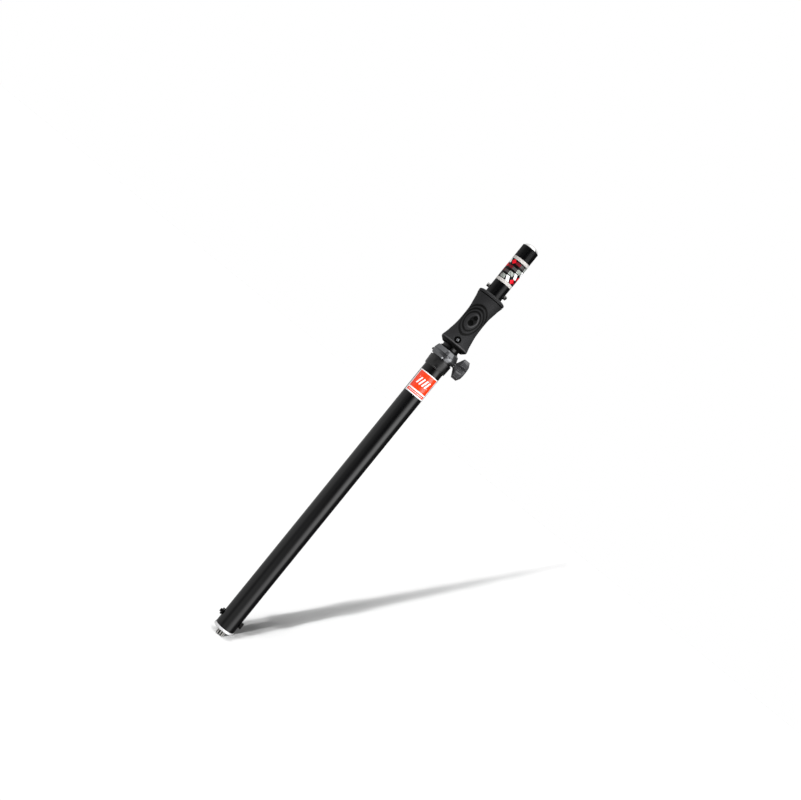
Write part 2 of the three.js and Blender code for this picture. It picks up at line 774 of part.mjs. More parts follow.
function lockKnob() {
  const [shoulderLength, shoulderSwell] = knobShoulderShares;
  const [bevelLength, bevelSwell] = knobBevelShares;
  const stations = [
    [hubFace, 0], [hubFace + knobFlareLength * shoulderLength, shoulderSwell], [flareEnd, 1],
    [gripLobeEnd, 1], [gripLobeEnd + knobFaceLength * bevelLength, bevelSwell], [knobFace, knobFaceShare],
  ];
  const body = lobedBody(stations, hubFace, knobFace + knobCrown);
  const skirt = bar(skirtBore, hubFace - cutOverrun, knobCore);
  const hole = bar(knobStudDiameter / 2 + fitGap, hubFace, knobCore + knobStudInKnob);
  return piece('lock_knob', cut(body, skirt, hole), blackNylon());
}

const lower = new THREE.Group();
lower.add(
  basePlug(), baseStud(), lowerTube(), baseBolt(), baseNut(), tubeSleeve(), clampCollar(), clampInsert(),
  collarScrew(), guideBushing(), lowerLabel(), footEye(), rodExtension(), springRod(), springPiston(),
);

const upper = new THREE.Group();
upper.add(
  upperTube(), endCap(), mastGlide(), gripShell('grip_front', -1), gripShell('grip_rear', 1), gripRing(),
  gripScrew('grip_screw_front', -1), gripScrew('grip_screw_rear', 1), upperBolt(), upperNut(),
  upperWasher('upper_washer_left', -1), upperWasher('upper_washer_right', 1), upperLabel(),
  springTopEye(), springCylinder(), rodGuide(), rodSeal(),
);

const clampScrew = new THREE.Group();
clampScrew.add(clampPad(), knobStud(), lockKnob());
clampScrew.position.z = knobHeight;
clampScrew.rotation.y = Math.PI / 2;

const pole = new THREE.Group();
pole.add(lower, upper, clampScrew);

export default pole;
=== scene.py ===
# A telescoping speaker pole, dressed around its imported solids. Sizes are millimetres of the real
# pole, and MM turns them into Blender's metres. +Z is up, the front is -Y, the clamp knob is at +X.
import math

import bmesh
import bpy
import numpy as np
from mathutils import Matrix, Vector


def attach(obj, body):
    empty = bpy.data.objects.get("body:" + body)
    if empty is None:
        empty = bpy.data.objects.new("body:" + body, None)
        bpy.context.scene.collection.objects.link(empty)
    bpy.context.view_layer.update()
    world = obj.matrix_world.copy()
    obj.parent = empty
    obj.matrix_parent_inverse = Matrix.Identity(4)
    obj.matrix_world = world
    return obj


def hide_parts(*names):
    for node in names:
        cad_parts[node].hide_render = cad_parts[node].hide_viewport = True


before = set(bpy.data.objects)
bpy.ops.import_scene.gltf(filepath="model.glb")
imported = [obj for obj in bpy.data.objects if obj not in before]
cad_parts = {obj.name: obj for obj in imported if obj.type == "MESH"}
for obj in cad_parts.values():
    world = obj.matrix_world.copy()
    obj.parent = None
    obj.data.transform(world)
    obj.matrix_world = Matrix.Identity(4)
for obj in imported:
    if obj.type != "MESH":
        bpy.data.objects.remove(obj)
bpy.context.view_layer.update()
scene = bpy.context.scene
MM = 0.001


# Camera. It looks square at the front of the pole from about 2.8 m away, and it is turned about
# its own line of sight, so that the upright pole leans to the right in the picture.
LENS = 60.2
SENSOR = 36
PICTURE_WIDTH = 801
MM_PER_PIXEL = 2.055
LEAN = math.radians(39.05)
AIM = Vector((-13.2, 0, 595.3))

distance = LENS / SENSOR * PICTURE_WIDTH * MM_PER_PIXEL
camera = bpy.data.objects.new("camera", bpy.data.cameras.new("camera"))
camera.data.lens = LENS
camera.data.sensor_width = SENSOR
camera.matrix_world = (
    Matrix.Translation((AIM - Vector((0, distance, 0))) * MM)
    @ Matrix.Rotation(-LEAN, 4, "Y")
    @ Matrix.Rotation(math.radians(90), 4, "X")
)
scene.collection.objects.link(camera)
scene.camera = camera
scene.view_settings.view_transform = "Standard"


# Studio. A softbox stands at the right of the camera and a dimmer wall at its left, with the dark
# room round the camera and at the far right. A small lamp hangs over the camera and one lies under
# it. The ceiling is white and the floor in front is dark. To the camera the whole room is white.
ROOM = {  # for each elevation in degrees, the light by degrees to the right of the camera
    -70: [(-180, 0.5), (-30, 0.5), (-10, 0.03), (180, 0.03)],
    -54: [(-180, 0.7), (-24, 0.7), (-16, 0.05), (-12, 9), (-2, 9), (2, 0.05), (22, 0.05), (26, 1.7),
          (75, 1.7), (80, 0.05), (180, 0.05)],
    -42: [(-180, 0.7), (-24, 0.7), (-10, 0.05), (22, 0.05), (26, 1.7), (75, 1.7), (80, 0.05),
          (180, 0.05)],
    -26: [(-180, 0.6), (-24, 0.6), (-10, 0.08), (20, 0.08), (25, 2), (76, 2), (80, 0.1),
          (106, 0.03), (116, 0.5), (180, 0.5)],
    -13: [(-180, 0.3), (-110, 0.5), (-71, 0.66), (-59, 0.48), (-48, 0.2), (-36, 0.14), (-26, 0.5),
          (-15, 0.8), (-6, 0.85), (16, 0.8), (22, 0.7), (30, 0.9), (46, 1.5), (62, 1.6), (75, 1.1),
          (82, 0.2), (110, 0.04), (150, 0.05), (180, 0.1)],
    -7: [(-180, 0.4), (-110, 0.7), (-71, 0.8), (-59, 0.62), (-48, 0.36), (-26, 0.3), (-15, 0.33),
         (-6, 0.26), (8, 0.22), (18, 0.28), (24, 0.5), (30, 1), (46, 2.3), (62, 2.4), (75, 1.6),
         (81, 0.2), (110, 0.05), (150, 0.05), (180, 0.1)],
    -2: [(-180, 0.4), (-110, 0.75), (-71, 0.86), (-59, 0.7), (-48, 0.45), (-26, 0.28), (-15, 0.1),
         (-6, 0), (6, 0), (16, 0.1), (24, 0.6), (30, 1.6), (46, 4), (62, 4.1), (74, 2.7), (82, 0.3),
         (110, 0.06), (150, 0.05), (180, 0.1)],
    3.4: [(-180, 0.4), (-110, 0.62), (-71, 0.72), (-59, 0.6), (-48, 0.4), (-26, 0.2), (-15, 0.05),
          (-6, 0), (12, 0), (20, 0.15), (28, 1), (34, 1.9), (46, 3.3), (61, 3.4), (73, 2.3),
          (81, 0.3), (110, 0.06), (150, 0.05), (180, 0.1)],
    5.2: [(-180, 0.2), (-98, 0.3), (-84, 0.22), (-72, 0.1), (-58, 0.01), (-46, 0), (8, 0),
          (18, 0.02), (26, 0.16), (38, 0.34), (64, 0.36), (76, 0.2), (83, 0.02), (112, 0.03),
          (150, 0.05), (180, 0.1)],
    12: [(-180, 0.2), (-98, 0.3), (-84, 0.24), (-70, 0.12), (-56, 0.02), (-42, 0), (4, 0),
         (16, 0.1), (26, 0.27), (62, 0.32), (76, 0.15), (83, 0.02), (112, 0.03), (150, 0.05),
         (180, 0.1)],
    20: [(-180, 0.6), (-12, 0.55), (-8, 0.05), (19, 0.05), (25, 1.9), (76, 1.9), (80, 0.1),
         (106, 0.03), (116, 0.6), (180, 0.6)],
    42: [(-180, 0.8), (-12, 0.75), (-8, 0.1), (19, 0.1), (25, 1.8), (76, 1.8), (80, 0.2),
         (106, 0.1), (116, 0.8), (180, 0.8)],
    52: [(-180, 0.9), (2, 0.9), (6, 12), (16, 12), (20, 0.5), (25, 1.8), (76, 1.8), (80, 0.1),
         (106, 0.1), (116, 0.9), (180, 0.9)],
    64: [(-180, 0.9), (78, 1.2), (82, 0.05), (106, 0.05), (114, 0.9), (180, 0.9)],
    78: [(-180, 3.4), (180, 3.4)],
}
BRIGHTEST = 12
BACKDROP = 1.0  # the light of every wall where the camera sees it


def linear(colour):
    """An sRGB colour, written #rrggbb, as the linear light that Blender reckons in."""
    channels = [int(colour[i : i + 2], 16) / 255 for i in (1, 3, 5)]
    return [c / 12.92 if c <= 0.04045 else ((c + 0.055) / 1.055) ** 2.4 for c in channels] + [1]


def add(tree, kind, inputs=None, out=0, stops=None, **settings):
    """Adds a node to a tree and returns one of its outputs. Inputs hold values or other outputs."""
    made = tree.nodes.new(kind)
    for name, value in settings.items():
        setattr(made, name, value)
    for place, (position, colour) in enumerate(stops or []):
        ramp = made.color_ramp.elements
        element = ramp[place] if place < len(ramp) else ramp.new(position)
        element.position, element.color = position, colour
    for socket, value in (inputs or {}).items():
        if isinstance(value, bpy.types.NodeSocket):
            tree.links.new(value, made.inputs[socket])
        else:
            made.inputs[socket].default_value = value
    return made.outputs[out] if made.outputs else made


world = bpy.data.worlds.new("studio")
world.use_nodes = True
room = world.node_tree
room.nodes.clear()
toward = add(room, "ShaderNodeTexCoord", out="Generated")
compass = add(room, "ShaderNodeSeparateXYZ", {0: toward}).node.outputs
ahead = add(room, "ShaderNodeMath", {0: compass["Y"], 1: -1}, operation="MULTIPLY")
azimuth = add(room, "ShaderNodeMath", {0: compass["X"], 1: ahead}, operation="ARCTAN2")
elevation = add(room, "ShaderNodeMath", {0: compass["Z"]}, operation="ARCSINE")
share = add(room, "ShaderNodeMapRange", {0: azimuth, 1: -math.pi, 2: math.pi})
around = None
for level, walls in ROOM.items():
    stops = [((degrees + 180) / 360, [light / BRIGHTEST] * 3 + [1]) for degrees, light in walls]
    ring = add(room, "ShaderNodeValToRGB", {0: share}, stops=stops)
    if around is None:
        around, below = ring, level
        continue
    rise = {0: elevation, 1: math.radians(below), 2: math.radians(level)}
    rise = add(room, "ShaderNodeMapRange", rise)
    mixed = {"Factor": rise, 6: around, 7: ring}
    around, below = add(room, "ShaderNodeMix", mixed, out=2, data_type="RGBA"), level
around = add(room, "ShaderNodeMath", {0: around, 1: BRIGHTEST}, operation="MULTIPLY")
seen = add(room, "ShaderNodeLightPath", out="Is Camera Ray")
light = add(room, "ShaderNodeMix", {"Factor": seen, 2: around, 3: BACKDROP})
background = add(room, "ShaderNodeBackground", {"Color": [1] * 4, "Strength": light})
add(room, "ShaderNodeOutputWorld", {0: background})
scene.world = world

# A broad fill over the camera. It whitens what is matt, and no gloss shows it.
FILL = 2.4
FILL_AZIMUTH, FILL_ELEVATION, FILL_WIDTH = 102, 35, 80  # degrees, from +X, from level, and across


def far_lamp(name, energy, azimuth, elevation, width):
    """A lamp so far off that its beam is parallel. It shines to an azimuth and down, in degrees."""
    lamp = bpy.data.objects.new(name, bpy.data.lights.new(name, "SUN"))
    lamp.data.energy = energy
    lamp.data.angle = math.radians(width)
    turn, fall = math.radians(azimuth), math.radians(elevation)
    beam = Vector((math.cos(turn), math.sin(turn), -math.tan(fall)))
    lamp.rotation_euler = beam.to_track_quat("-Z", "Y").to_euler()
    scene.collection.objects.link(lamp)
    return lamp


fill = far_lamp("fill", FILL, FILL_AZIMUTH, FILL_ELEVATION, FILL_WIDTH)
fill.visible_glossy = False


# Floor. A plain pale sweep under the stud, which glows a little. A column of lamps at the front
# left lights it and nothing else: they burn it out to white, and draw the shadow that runs right.
STUD_FOOT = -13.1
FLOOR_SIZE = 200000
FLOOR_GAP = 0.05  # between the stud and the floor
SHADOW_AZIMUTH = 79.35  # degrees from +X, seen from above
LAMPS = [  # elevation and width in degrees, and share of the floor's light
    (1.55, 0.37, 0.2), (4.2, 0.8, 0.14), (8, 1.2, 0.1), (12.8, 1.5, 0.08), (19.5, 2, 0.06),
    (27, 3, 0.07), (39, 5, 0.05), (52, 6, 0.06), (62, 6, 0.1), (71, 6, 0.07),
]
PAPER_SHADE = 0.03
PAPER_WHITE = 1.01
PAPER_GLOW = 0.07

paper = bpy.data.materials.new("matte background paper")
paper.use_nodes = True
paper_shader = paper.node_tree.nodes["Principled BSDF"]
paper_shader.inputs["Base Color"].default_value = [PAPER_SHADE] * 3 + [1]
paper_shader.inputs["Roughness"].default_value = 1
paper_shader.inputs["Specular IOR Level"].default_value = 0
paper_shader.inputs["Emission Color"].default_value = [1] * 4
paper_shader.inputs["Emission Strength"].default_value = PAPER_GLOW

reach = FLOOR_SIZE / 2 * MM
height = (STUD_FOOT - FLOOR_GAP) * MM
sheet = bpy.data.meshes.new("floor")
sheet.from_pydata([(x, y, height) for x, y in
                   ((-reach, -reach), (reach, -reach), (reach, reach), (-reach, reach))],
                  [], [(0, 1, 2, 3)])
sheet.materials.append(paper)
floor = bpy.data.objects.new("floor", sheet)
floor.visible_diffuse = floor.visible_glossy = False
scene.collection.objects.link(floor)

lit = bpy.data.collections.new("floor only")
lit.objects.link(floor)
unlit = bpy.data.collections.new("all but the floor")
unlit.objects.link(floor)
unlit.collection_objects[0].light_linking.link_state = "EXCLUDE"
fill.light_linking.receiver_collection = unlit
for elevation, width, portion in LAMPS:
    slant = math.sin(math.radians(elevation))
    energy = portion * PAPER_WHITE * math.pi / (PAPER_SHADE * slant)
    lamp = far_lamp("floor_lamp", energy, SHADOW_AZIMUTH, elevation, width)
    lamp.light_linking.receiver_collection = lit


# Lower tube. Welded steel tube of 44.45 mm, powder coated in satin black. The bare ends are broken
# with a small round. The flanged plug closes its foot, and the collar hides its top.
TUBE_SIDES = 160
EDGE_STEPS = 4
HOLD = 0.4  # from a rounded edge to the ring that keeps the face beside it flat, at most
SHARP = math.radians(38)
NOISE_LOW, NOISE_HIGH = 0.35, 0.65  # nearly all of a noise lies between these
TUBE_FOOT, TUBE_TOP = 5.8, 732
TUBE_BORE, TUBE_RADIUS = 20.575, 22.225
TUBE_EDGE = 0.4


def rounded(outline):
    """An outline of (radius, height, edge round) corners, made finer to round its edges."""
    count = len(outline)
    corners = [Vector(point[:2]) for point in outline]
    sides = [corners[(i + 1) % count] - corner for i, corner in enumerate(corners)]
    halves = [(-sides[i - 1]).angle(side) / 2 for i, side in enumerate(sides)]
    runs = [edge and edge / math.tan(half) for (*_, edge), half in zip(outline, halves)]
    finer = []
    for i, (corner, half, run) in enumerate(zip(corners, halves, runs)):
        edge = outline[i][2]
        if not edge:
            finer.append(tuple(corner))
            continue
        back, on = -sides[i - 1], sides[i]
        holds = [min(HOLD, (back.length - run - runs[i - 1]) / 3),
                 min(HOLD, (on.length - run - runs[(i + 1) % count]) / 3)]
        back.normalize()
        on = on.normalized()
        middle = corner + (back + on).normalized() * edge / math.sin(half)
        start, end = corner + back * run, corner + on * run
        finer.append(tuple(start + back * holds[0]))
        for step in range(EDGE_STEPS + 1):
            arm = (start - middle).slerp(end - middle, step / EDGE_STEPS)
            finer.append(tuple(middle + arm * edge))
        finer.append(tuple(end + on * holds[1]))
    return finer


def turned(outline, sides=TUBE_SIDES):
    """Rings about Z for an outline that runs up the outside of a body and down its bore."""
    turns = [2 * math.pi * i / sides for i in range(sides)]
    return [
        [(radius * math.cos(t), radius * math.sin(t), z) for t in (turns if radius > 0 else [0])]
        for radius, z in outline
    ]


def smooth(mesh):
    """Shades a mesh smooth, apart from its sharp edges, with every face outward."""
    shell = bmesh.new()
    shell.from_mesh(mesh)
    bmesh.ops.recalc_face_normals(shell, faces=shell.faces)
    shell.to_mesh(mesh)
    shell.free()
    mesh.shade_smooth()
    mesh.set_sharp_from_angle(angle=SHARP)


def skinned(name, rings, material, turn=Matrix(), loop=False, capped=False):
    """A piece whose skin joins each ring of points to the next. A ring of one point is a pole."""
    points, numbers, faces = [], [], []
    for ring in rings:
        numbers.append(list(range(len(points), len(points) + len(ring))))
        points.extend(ring)
    for low, high in zip(numbers, numbers[1:] + numbers[:1] * loop):
        around = max(len(low), len(high))
        for i in range(around):
            j = (i + 1) % around
            corners = low[i % len(low)], low[j % len(low)], high[j % len(high)], high[i % len(high)]
            faces.append(list(dict.fromkeys(corners)))
    if capped:
        faces += [numbers[0][::-1], numbers[-1]]
    mesh = bpy.data.meshes.new(name)
    mesh.from_pydata([turn @ Vector(point) * MM for point in points], [], faces)
    smooth(mesh)
    mesh.materials.append(material)
    piece = bpy.data.objects.new(name, mesh)
    scene.collection.objects.link(piece)
    return piece


def lathed(name, outline, material, turn=Matrix(), sides=TUBE_SIDES):
    """A piece turned about Z from its outline of corners. It is solid where that starts at Z."""
    rings = turned(rounded(outline), sides)
    return skinned(name, rings, material, turn, loop=outline[0][0] > 0)


def surfaced(name, colour, roughness, **inputs):
    """A material with one Principled shader. Returns the material, its tree and the shader."""
    made = bpy.data.materials.new(name)
    made.use_nodes = True
    shader = made.node_tree.nodes["Principled BSDF"]
    shader.inputs["Base Color"].default_value = linear(colour)
    shader.inputs["Roughness"].default_value = roughness
    for socket, value in inputs.items():
        shader.inputs[socket.replace("_", " ")].default_value = value
    return made, made.node_tree, shader


def mottled(tree, size, detail, scale=(1, 1, 1), roughness=0.5):
    """A noise through a piece, in spots of one size in mm, drawn out where the scale is small."""
    place = add(tree, "ShaderNodeTexCoord", out="Object")
    place = add(tree, "ShaderNodeMapping", {"Vector": place, "Scale": scale})
    spots = {"Vector": place, "Scale": 1 / (size * MM), "Detail": detail, "Roughness": roughness}
    return add(tree, "ShaderNodeTexNoise", spots)


def grained(tree, shader, size, depth, detail=2):
    """Gives a shader a bumpy skin: grains of one size in mm, of one depth in mm."""
    bump = {"Height": mottled(tree, size, detail), "Strength": 1, "Distance": depth * MM}
    tree.links.new(add(tree, "ShaderNodeBump", bump), shader.inputs["Normal"])


def uneven(tree, shader, low, high, size, scale=(1, 1, 1)):
    """Lets the roughness of a shader drift between two values, in patches of one size in mm."""
    drift = {0: mottled(tree, size, 3, scale), 1: NOISE_LOW, 2: NOISE_HIGH, 3: low, 4: high}
    tree.links.new(add(tree, "ShaderNodeMapRange", drift), shader.inputs["Roughness"])


def fitted(piece, body, slot, *nodes):
    """Hangs a piece on the body that it rides on and hides the nodes that it replaces. Its slot is
    not used.
    """
    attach(piece, body)
    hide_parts(*nodes)


# Polyester powder coat, baked on: a deep black with a satin gloss, whose faint orange peel of
# about 2.5 mm makes the edges of the reflections waver.
powder_coat, tree, shader = surfaced("black powder coat", "#070708", 0.18)
grained(tree, shader, 2.5, 0.012, detail=1)
uneven(tree, shader, 0.16, 0.21, 38, (1, 1, 0.3))

lower_tube = lathed("lower_tube_coated", [
    (TUBE_RADIUS, TUBE_FOOT, TUBE_EDGE), (TUBE_RADIUS, TUBE_TOP, TUBE_EDGE),
    (TUBE_BORE, TUBE_TOP, TUBE_EDGE), (TUBE_BORE, TUBE_FOOT, TUBE_EDGE),
], powder_coat)
fitted(lower_tube, "lower", "black_powder_coat", "lower_tube")


# Base plug. Turned aluminium, pressed and bolted into the foot of the tube. Its flange is what
# seats on the cabinet, and its tool marks run round it.
FLANGE_RADIUS, FLANGE_HEIGHT = 23.275, 5.8
FLANGE_FOOT_CHAMFER = 1.2
PLUG_TOP = 50
PLUG_RADIUS, PLUG_BORE = 20.275, 10.3
PLUG_EDGE = 0.5
TOOL_MARKS = (0.1, 0.1, 1)  # scale of a mottle that a lathe has drawn round Z

# Bright turned aluminium: the tool marks spread each reflection up and down, so the flange picks
# up the white floor and ceiling as well as the walls.
turned_aluminium, tree, shader = surfaced(
    "turned aluminium", "#fbfbfc", 0.38, Metallic=0.6, Anisotropic=0.75
)
radial = add(tree, "ShaderNodeTangent", direction_type="RADIAL", axis="Z")
tree.links.new(radial, shader.inputs["Tangent"])
uneven(tree, shader, 0.3, 0.4, 2, TOOL_MARKS)

base_plug = lathed("base_plug_turned", [
    (FLANGE_RADIUS - FLANGE_FOOT_CHAMFER, 0, 0.15), (FLANGE_RADIUS, FLANGE_FOOT_CHAMFER, 0.3),
    (FLANGE_RADIUS, FLANGE_HEIGHT, PLUG_EDGE), (PLUG_RADIUS, FLANGE_HEIGHT, 0),
    (PLUG_RADIUS, PLUG_TOP, PLUG_EDGE), (PLUG_BORE, PLUG_TOP, PLUG_EDGE),
    (PLUG_BORE, 0, PLUG_EDGE),
], turned_aluminium)
fitted(base_plug, "lower", "bright_chrome", "base_plug")


# Base stud. An M20 screw of 2.5 mm pitch, nickel plated, screwed into the plug. Its thread and the
# flutes that clear it are a rule, so Geometry Nodes cut them: a sheet is wrapped round Z, and its
# radius follows the helix and the flutes.
STUD_RADIUS, STUD_DEPTH, STUD_PITCH = 10, 1.1, 2.5
STUD_TOP = 10
STUD_POINT = 1.7
STUD_FLUTES, FLUTE_DEPTH, FLUTE_TURN = 10, 2.2, math.radians(20)
FLUTE_WALL = (0.18, 0.22)  # start and end, from the middle of a land, with a land and flute as 1
THREAD_FLAT = 0.06  # half of a thread's crest, and of its root, in shares of the pitch
WELD = 0.002  # points of a thread that are nearer than this become one
# Painted shade: inside these radii, in mm, the nickel is painted black.
SHADE_PAINT_RADII = (8.5, 8.8)
LAND_METAL = 0.7  # the metal on the lands has dulled


def settled(piece):
    """Swaps the live modifiers of a piece for the plain mesh that they give."""
    evaluated = piece.evaluated_get(bpy.context.evaluated_depsgraph_get())
    mesh = bpy.data.meshes.new_from_object(evaluated)
    piece.modifiers.clear()
    piece.data = mesh
    smooth(mesh)


def recipe(name, sockets):
    """A Geometry Nodes tree with these inputs, and the outputs of its input node."""
    tree = bpy.data.node_groups.new(name, "GeometryNodeTree")
    tree.interface.new_socket(name="Geometry", in_out="OUTPUT", socket_type="NodeSocketGeometry")
    for socket, kind in sockets.items():
        tree.interface.new_socket(name=socket, in_out="INPUT", socket_type="NodeSocket" + kind)
    return tree, tree.nodes.new("NodeGroupInput").outputs


def served(tree, geometry, material):
    """Ends a tree: its instances made real, its material set."""
    real = add(tree, "GeometryNodeRealizeInstances", {0: geometry})
    real = add(tree, "GeometryNodeSetMaterial", {"Geometry": real, "Material": material})
    add(tree, "NodeGroupOutput", {0: real})


def grown(name, tree, values, turn=Matrix()):
    """A piece made by a tree with these values, as a plain mesh. A Float is a length in mm."""
    piece = bpy.data.objects.new(name, bpy.data.meshes.new(name))
    scene.collection.objects.link(piece)
    modifier = piece.modifiers.new(name, "NODES")
    modifier.node_group = tree
    for socket in tree.interface.items_tree:
        if socket.in_out == "INPUT":
            value = values[socket.name]
            if socket.socket_type == "NodeSocketFloat":
                value *= MM
            modifier[socket.identifier] = value
    settled(piece)
    piece.data.transform(turn)
    return piece


thread_tree, given = recipe("screw thread", {
    "Radius": "Float", "Depth": "Float", "Pitch": "Float", "Foot": "Float", "Top": "Float",
    "Point": "Float", "Flutes": "Int", "Flute Depth": "Float", "Rings": "Int", "Sides": "Int",
    "Material": "Material",
})
corners = add(thread_tree, "ShaderNodeMath", {0: given["Sides"], 1: 1}, operation="ADD")
grid = {"Size X": 1, "Size Y": 1, "Vertices X": corners, "Vertices Y": given["Rings"]}
grid = add(thread_tree, "GeometryNodeMeshGrid", grid)
flat = add(thread_tree, "GeometryNodeInputPosition")
flat = add(thread_tree, "ShaderNodeSeparateXYZ", {0: flat}).node.outputs
turn_share = add(thread_tree, "ShaderNodeMath", {0: flat["X"], 1: 0.5}, operation="ADD")
rise_share = add(thread_tree, "ShaderNodeMath", {0: flat["Y"], 1: 0.5}, operation="ADD")
rise = {0: rise_share, 3: given["Foot"], 4: given["Top"]}
rise = add(thread_tree, "ShaderNodeMapRange", rise)
pitches = add(thread_tree, "ShaderNodeMath", {0: rise, 1: given["Pitch"]}, operation="DIVIDE")
helix = add(thread_tree, "ShaderNodeMath", {0: pitches, 1: turn_share}, operation="SUBTRACT")
flank = add(thread_tree, "ShaderNodeMath", {0: helix, 1: 0.5}, operation="PINGPONG")
flank = {0: flank, 1: THREAD_FLAT, 2: 0.5 - THREAD_FLAT, 3: given["Depth"], 4: 0.0}
sunk = add(thread_tree, "ShaderNodeMapRange", flank)
flute = {0: turn_share, 1: given["Flutes"]}
flute = add(thread_tree, "ShaderNodeMath", flute, operation="MULTIPLY")
flute = add(thread_tree, "ShaderNodeMath", {0: flute, 1: 0.5}, operation="PINGPONG")
flute = {0: flute, 1: FLUTE_WALL[0], 2: FLUTE_WALL[1], 3: 0.0, 4: given["Flute Depth"]}
flute = add(thread_tree, "ShaderNodeMapRange", flute)
sunk = add(thread_tree, "ShaderNodeMath", {0: sunk, 1: flute}, operation="MAXIMUM")
crest = add(thread_tree, "ShaderNodeMath", {0: given["Radius"], 1: sunk}, operation="SUBTRACT")
blunt = {0: given["Radius"], 1: given["Point"]}
blunt = add(thread_tree, "ShaderNodeMath", blunt, operation="SUBTRACT")
for start, end in ((given["Foot"], rise), (rise, given["Top"])):
    cone = add(thread_tree, "ShaderNodeMath", {0: end, 1: start}, operation="SUBTRACT")
    cone = add(thread_tree, "ShaderNodeMath", {0: cone, 1: blunt}, operation="ADD")
    crest = add(thread_tree, "ShaderNodeMath", {0: crest, 1: cone}, operation="MINIMUM")
angle = add(thread_tree, "ShaderNodeMath", {0: turn_share, 1: 2 * math.pi}, operation="MULTIPLY")
across = add(thread_tree, "ShaderNodeMath", {0: angle}, operation="COSINE")
across = add(thread_tree, "ShaderNodeMath", {0: across, 1: crest}, operation="MULTIPLY")
along = add(thread_tree, "ShaderNodeMath", {0: angle}, operation="SINE")
along = add(thread_tree, "ShaderNodeMath", {0: along, 1: crest}, operation="MULTIPLY")
wrapped = add(thread_tree, "ShaderNodeCombineXYZ", {0: across, 1: along, 2: rise})
shells = [add(thread_tree, "GeometryNodeSetPosition", {"Geometry": grid, "Position": wrapped})]
for end, flipped in ((given["Foot"], True), (given["Top"], False)):
    disc = {"Vertices": given["Sides"], "Radius": blunt}
    disc = add(thread_tree, "GeometryNodeMeshCircle", disc, fill_type="NGON")
    lift = add(thread_tree, "ShaderNodeCombineXYZ", {2: end})
    disc = add(thread_tree, "GeometryNodeTransform", {"Geometry": disc, "Translation": lift})
    shells.append(add(thread_tree, "GeometryNodeFlipFaces", {0: disc}) if flipped else disc)
joined = thread_tree.nodes.new("GeometryNodeJoinGeometry")
for shell in shells:
    thread_tree.links.new(shell, joined.inputs[0])
sealed = {"Geometry": joined.outputs[0], "Distance": WELD * MM}
sealed = add(thread_tree, "GeometryNodeMergeByDistance", sealed)
served(thread_tree, sealed, given["Material"])

# Nickel plate on steel: a bright, slightly warm satin on the lands, and painted black as shade
# where it lies deeper than the thread, in the flutes.
nickel, tree, shader = surfaced("nickel plate, painted shade in flutes", "#f4f2ee", 0.3)
place = add(tree, "ShaderNodeTexCoord", out="Object")
place = add(tree, "ShaderNodeVectorMath", {0: place, 1: (1, 1, 0)}, operation="MULTIPLY")
radius = add(tree, "ShaderNodeVectorMath", {0: place}, out="Value", operation="LENGTH")
# Painted shade: the colour turns black between these radii, inward.
unshaded = {0: radius, 1: SHADE_PAINT_RADII[0] * MM, 2: SHADE_PAINT_RADII[1] * MM}
unshaded = add(tree, "ShaderNodeMapRange", unshaded)
metal = add(tree, "ShaderNodeMapRange", {0: unshaded, 3: 1.0, 4: LAND_METAL})
tree.links.new(metal, shader.inputs["Metallic"])
unshaded = {"Factor": unshaded, 6: linear("#030303"), 7: linear("#f4f2ee")}
unshaded = add(tree, "ShaderNodeMix", unshaded, out=2, data_type="RGBA")
tree.links.new(unshaded, shader.inputs["Base Color"])
uneven(tree, shader, 0.24, 0.4, 5)

base_stud = grown("base_stud_threaded", thread_tree, {
    "Radius": STUD_RADIUS, "Depth": STUD_DEPTH, "Pitch": STUD_PITCH, "Foot": STUD_FOOT,
    "Top": STUD_TOP, "Point": STUD_POINT, "Flutes": STUD_FLUTES, "Flute Depth": FLUTE_DEPTH,
    "Rings": 150, "Sides": 200, "Material": nickel,
}, Matrix.Rotation(FLUTE_TURN, 4, "Z"))
fitted(base_stud, "lower", "bright_chrome", "base_stud")


# Base bolt and nut. An M8 hexagon bolt through the foot of the tube and the spring's lower eye,
# black from its oxide bath, with its nut at -X and two turns of thread standing out of it.
BOLT_HEIGHT = 28.4
BOLT_RADIUS, BOLT_PITCH, BOLT_DEPTH = 4, 1.25, 0.7
BOLT_SEAT = 22.3
BOLT_FLATS, BOLT_HEAD = 13, 5.6
NUT_HEIGHT, BOLT_TIP = 4.6, 3.2
NECK_END, SHANK_START = 2, 3  # in from the nut's face, where the bolt's core widens to its shank
TIP_ROOT, TIP_POINT = 1.6, 0.9  # how deep in its nut a thread starts, and how its end is pointed
NUT_PLAY, NUT_FLARE, NUT_MOUTH = 0.15, 1, 0.6  # room round the thread and its mouth, and its depth
OVERLAP = 1  # how far joined bodies and cutting tools reach into or past a face
HEX_FACE, BLUNT_FACE = 0.94, 0.99  # the round face on a hexagon's end, as a share of its flats
CORNER_FALL = math.tan(math.radians(30))
HEX_STEPS = 12
ALONG_X = Matrix.Rotation(math.radians(90), 4, "Y")


def hexagon(flats, foot, top, foot_face=HEX_FACE, top_face=HEX_FACE, start=0):
    """Rings of a hexagon along Z whose ends are chamfered by a cone down to a round face."""
    turns = [2 * math.pi * i / (6 * HEX_STEPS) + start for i in range(6 * HEX_STEPS)]
    wide = [flats / 2 / math.cos((t - start) % (math.pi / 3) - math.pi / 6) for t in turns]
    rings = [[(0, 0, foot)]]
    for end, face, inward in ((foot, foot_face, 1), (top, top_face, -1)):
        round_face = [(flats / 2 * face, end)] * len(turns)
        cone = [(w, end + inward * (w - flats / 2 * face) * CORNER_FALL) for w in wide]
        rings += [[(r * math.cos(t), r * math.sin(t), z) for (r, z), t in zip(ring, turns)]
                  for ring in ((round_face, cone) if inward > 0 else (cone, round_face))]
    return rings + [[(0, 0, top)]]


def carved(piece, *tools, operation="DIFFERENCE"):
    """Cuts the tools from a piece, or joins them to it, and does away with the tools."""
    for tool in tools:
        cut = piece.modifiers.new(tool.name, "BOOLEAN")
        cut.object, cut.operation, cut.solver = tool, operation, "EXACT"
    settled(piece)
    for tool in tools:
        bpy.data.objects.remove(tool)


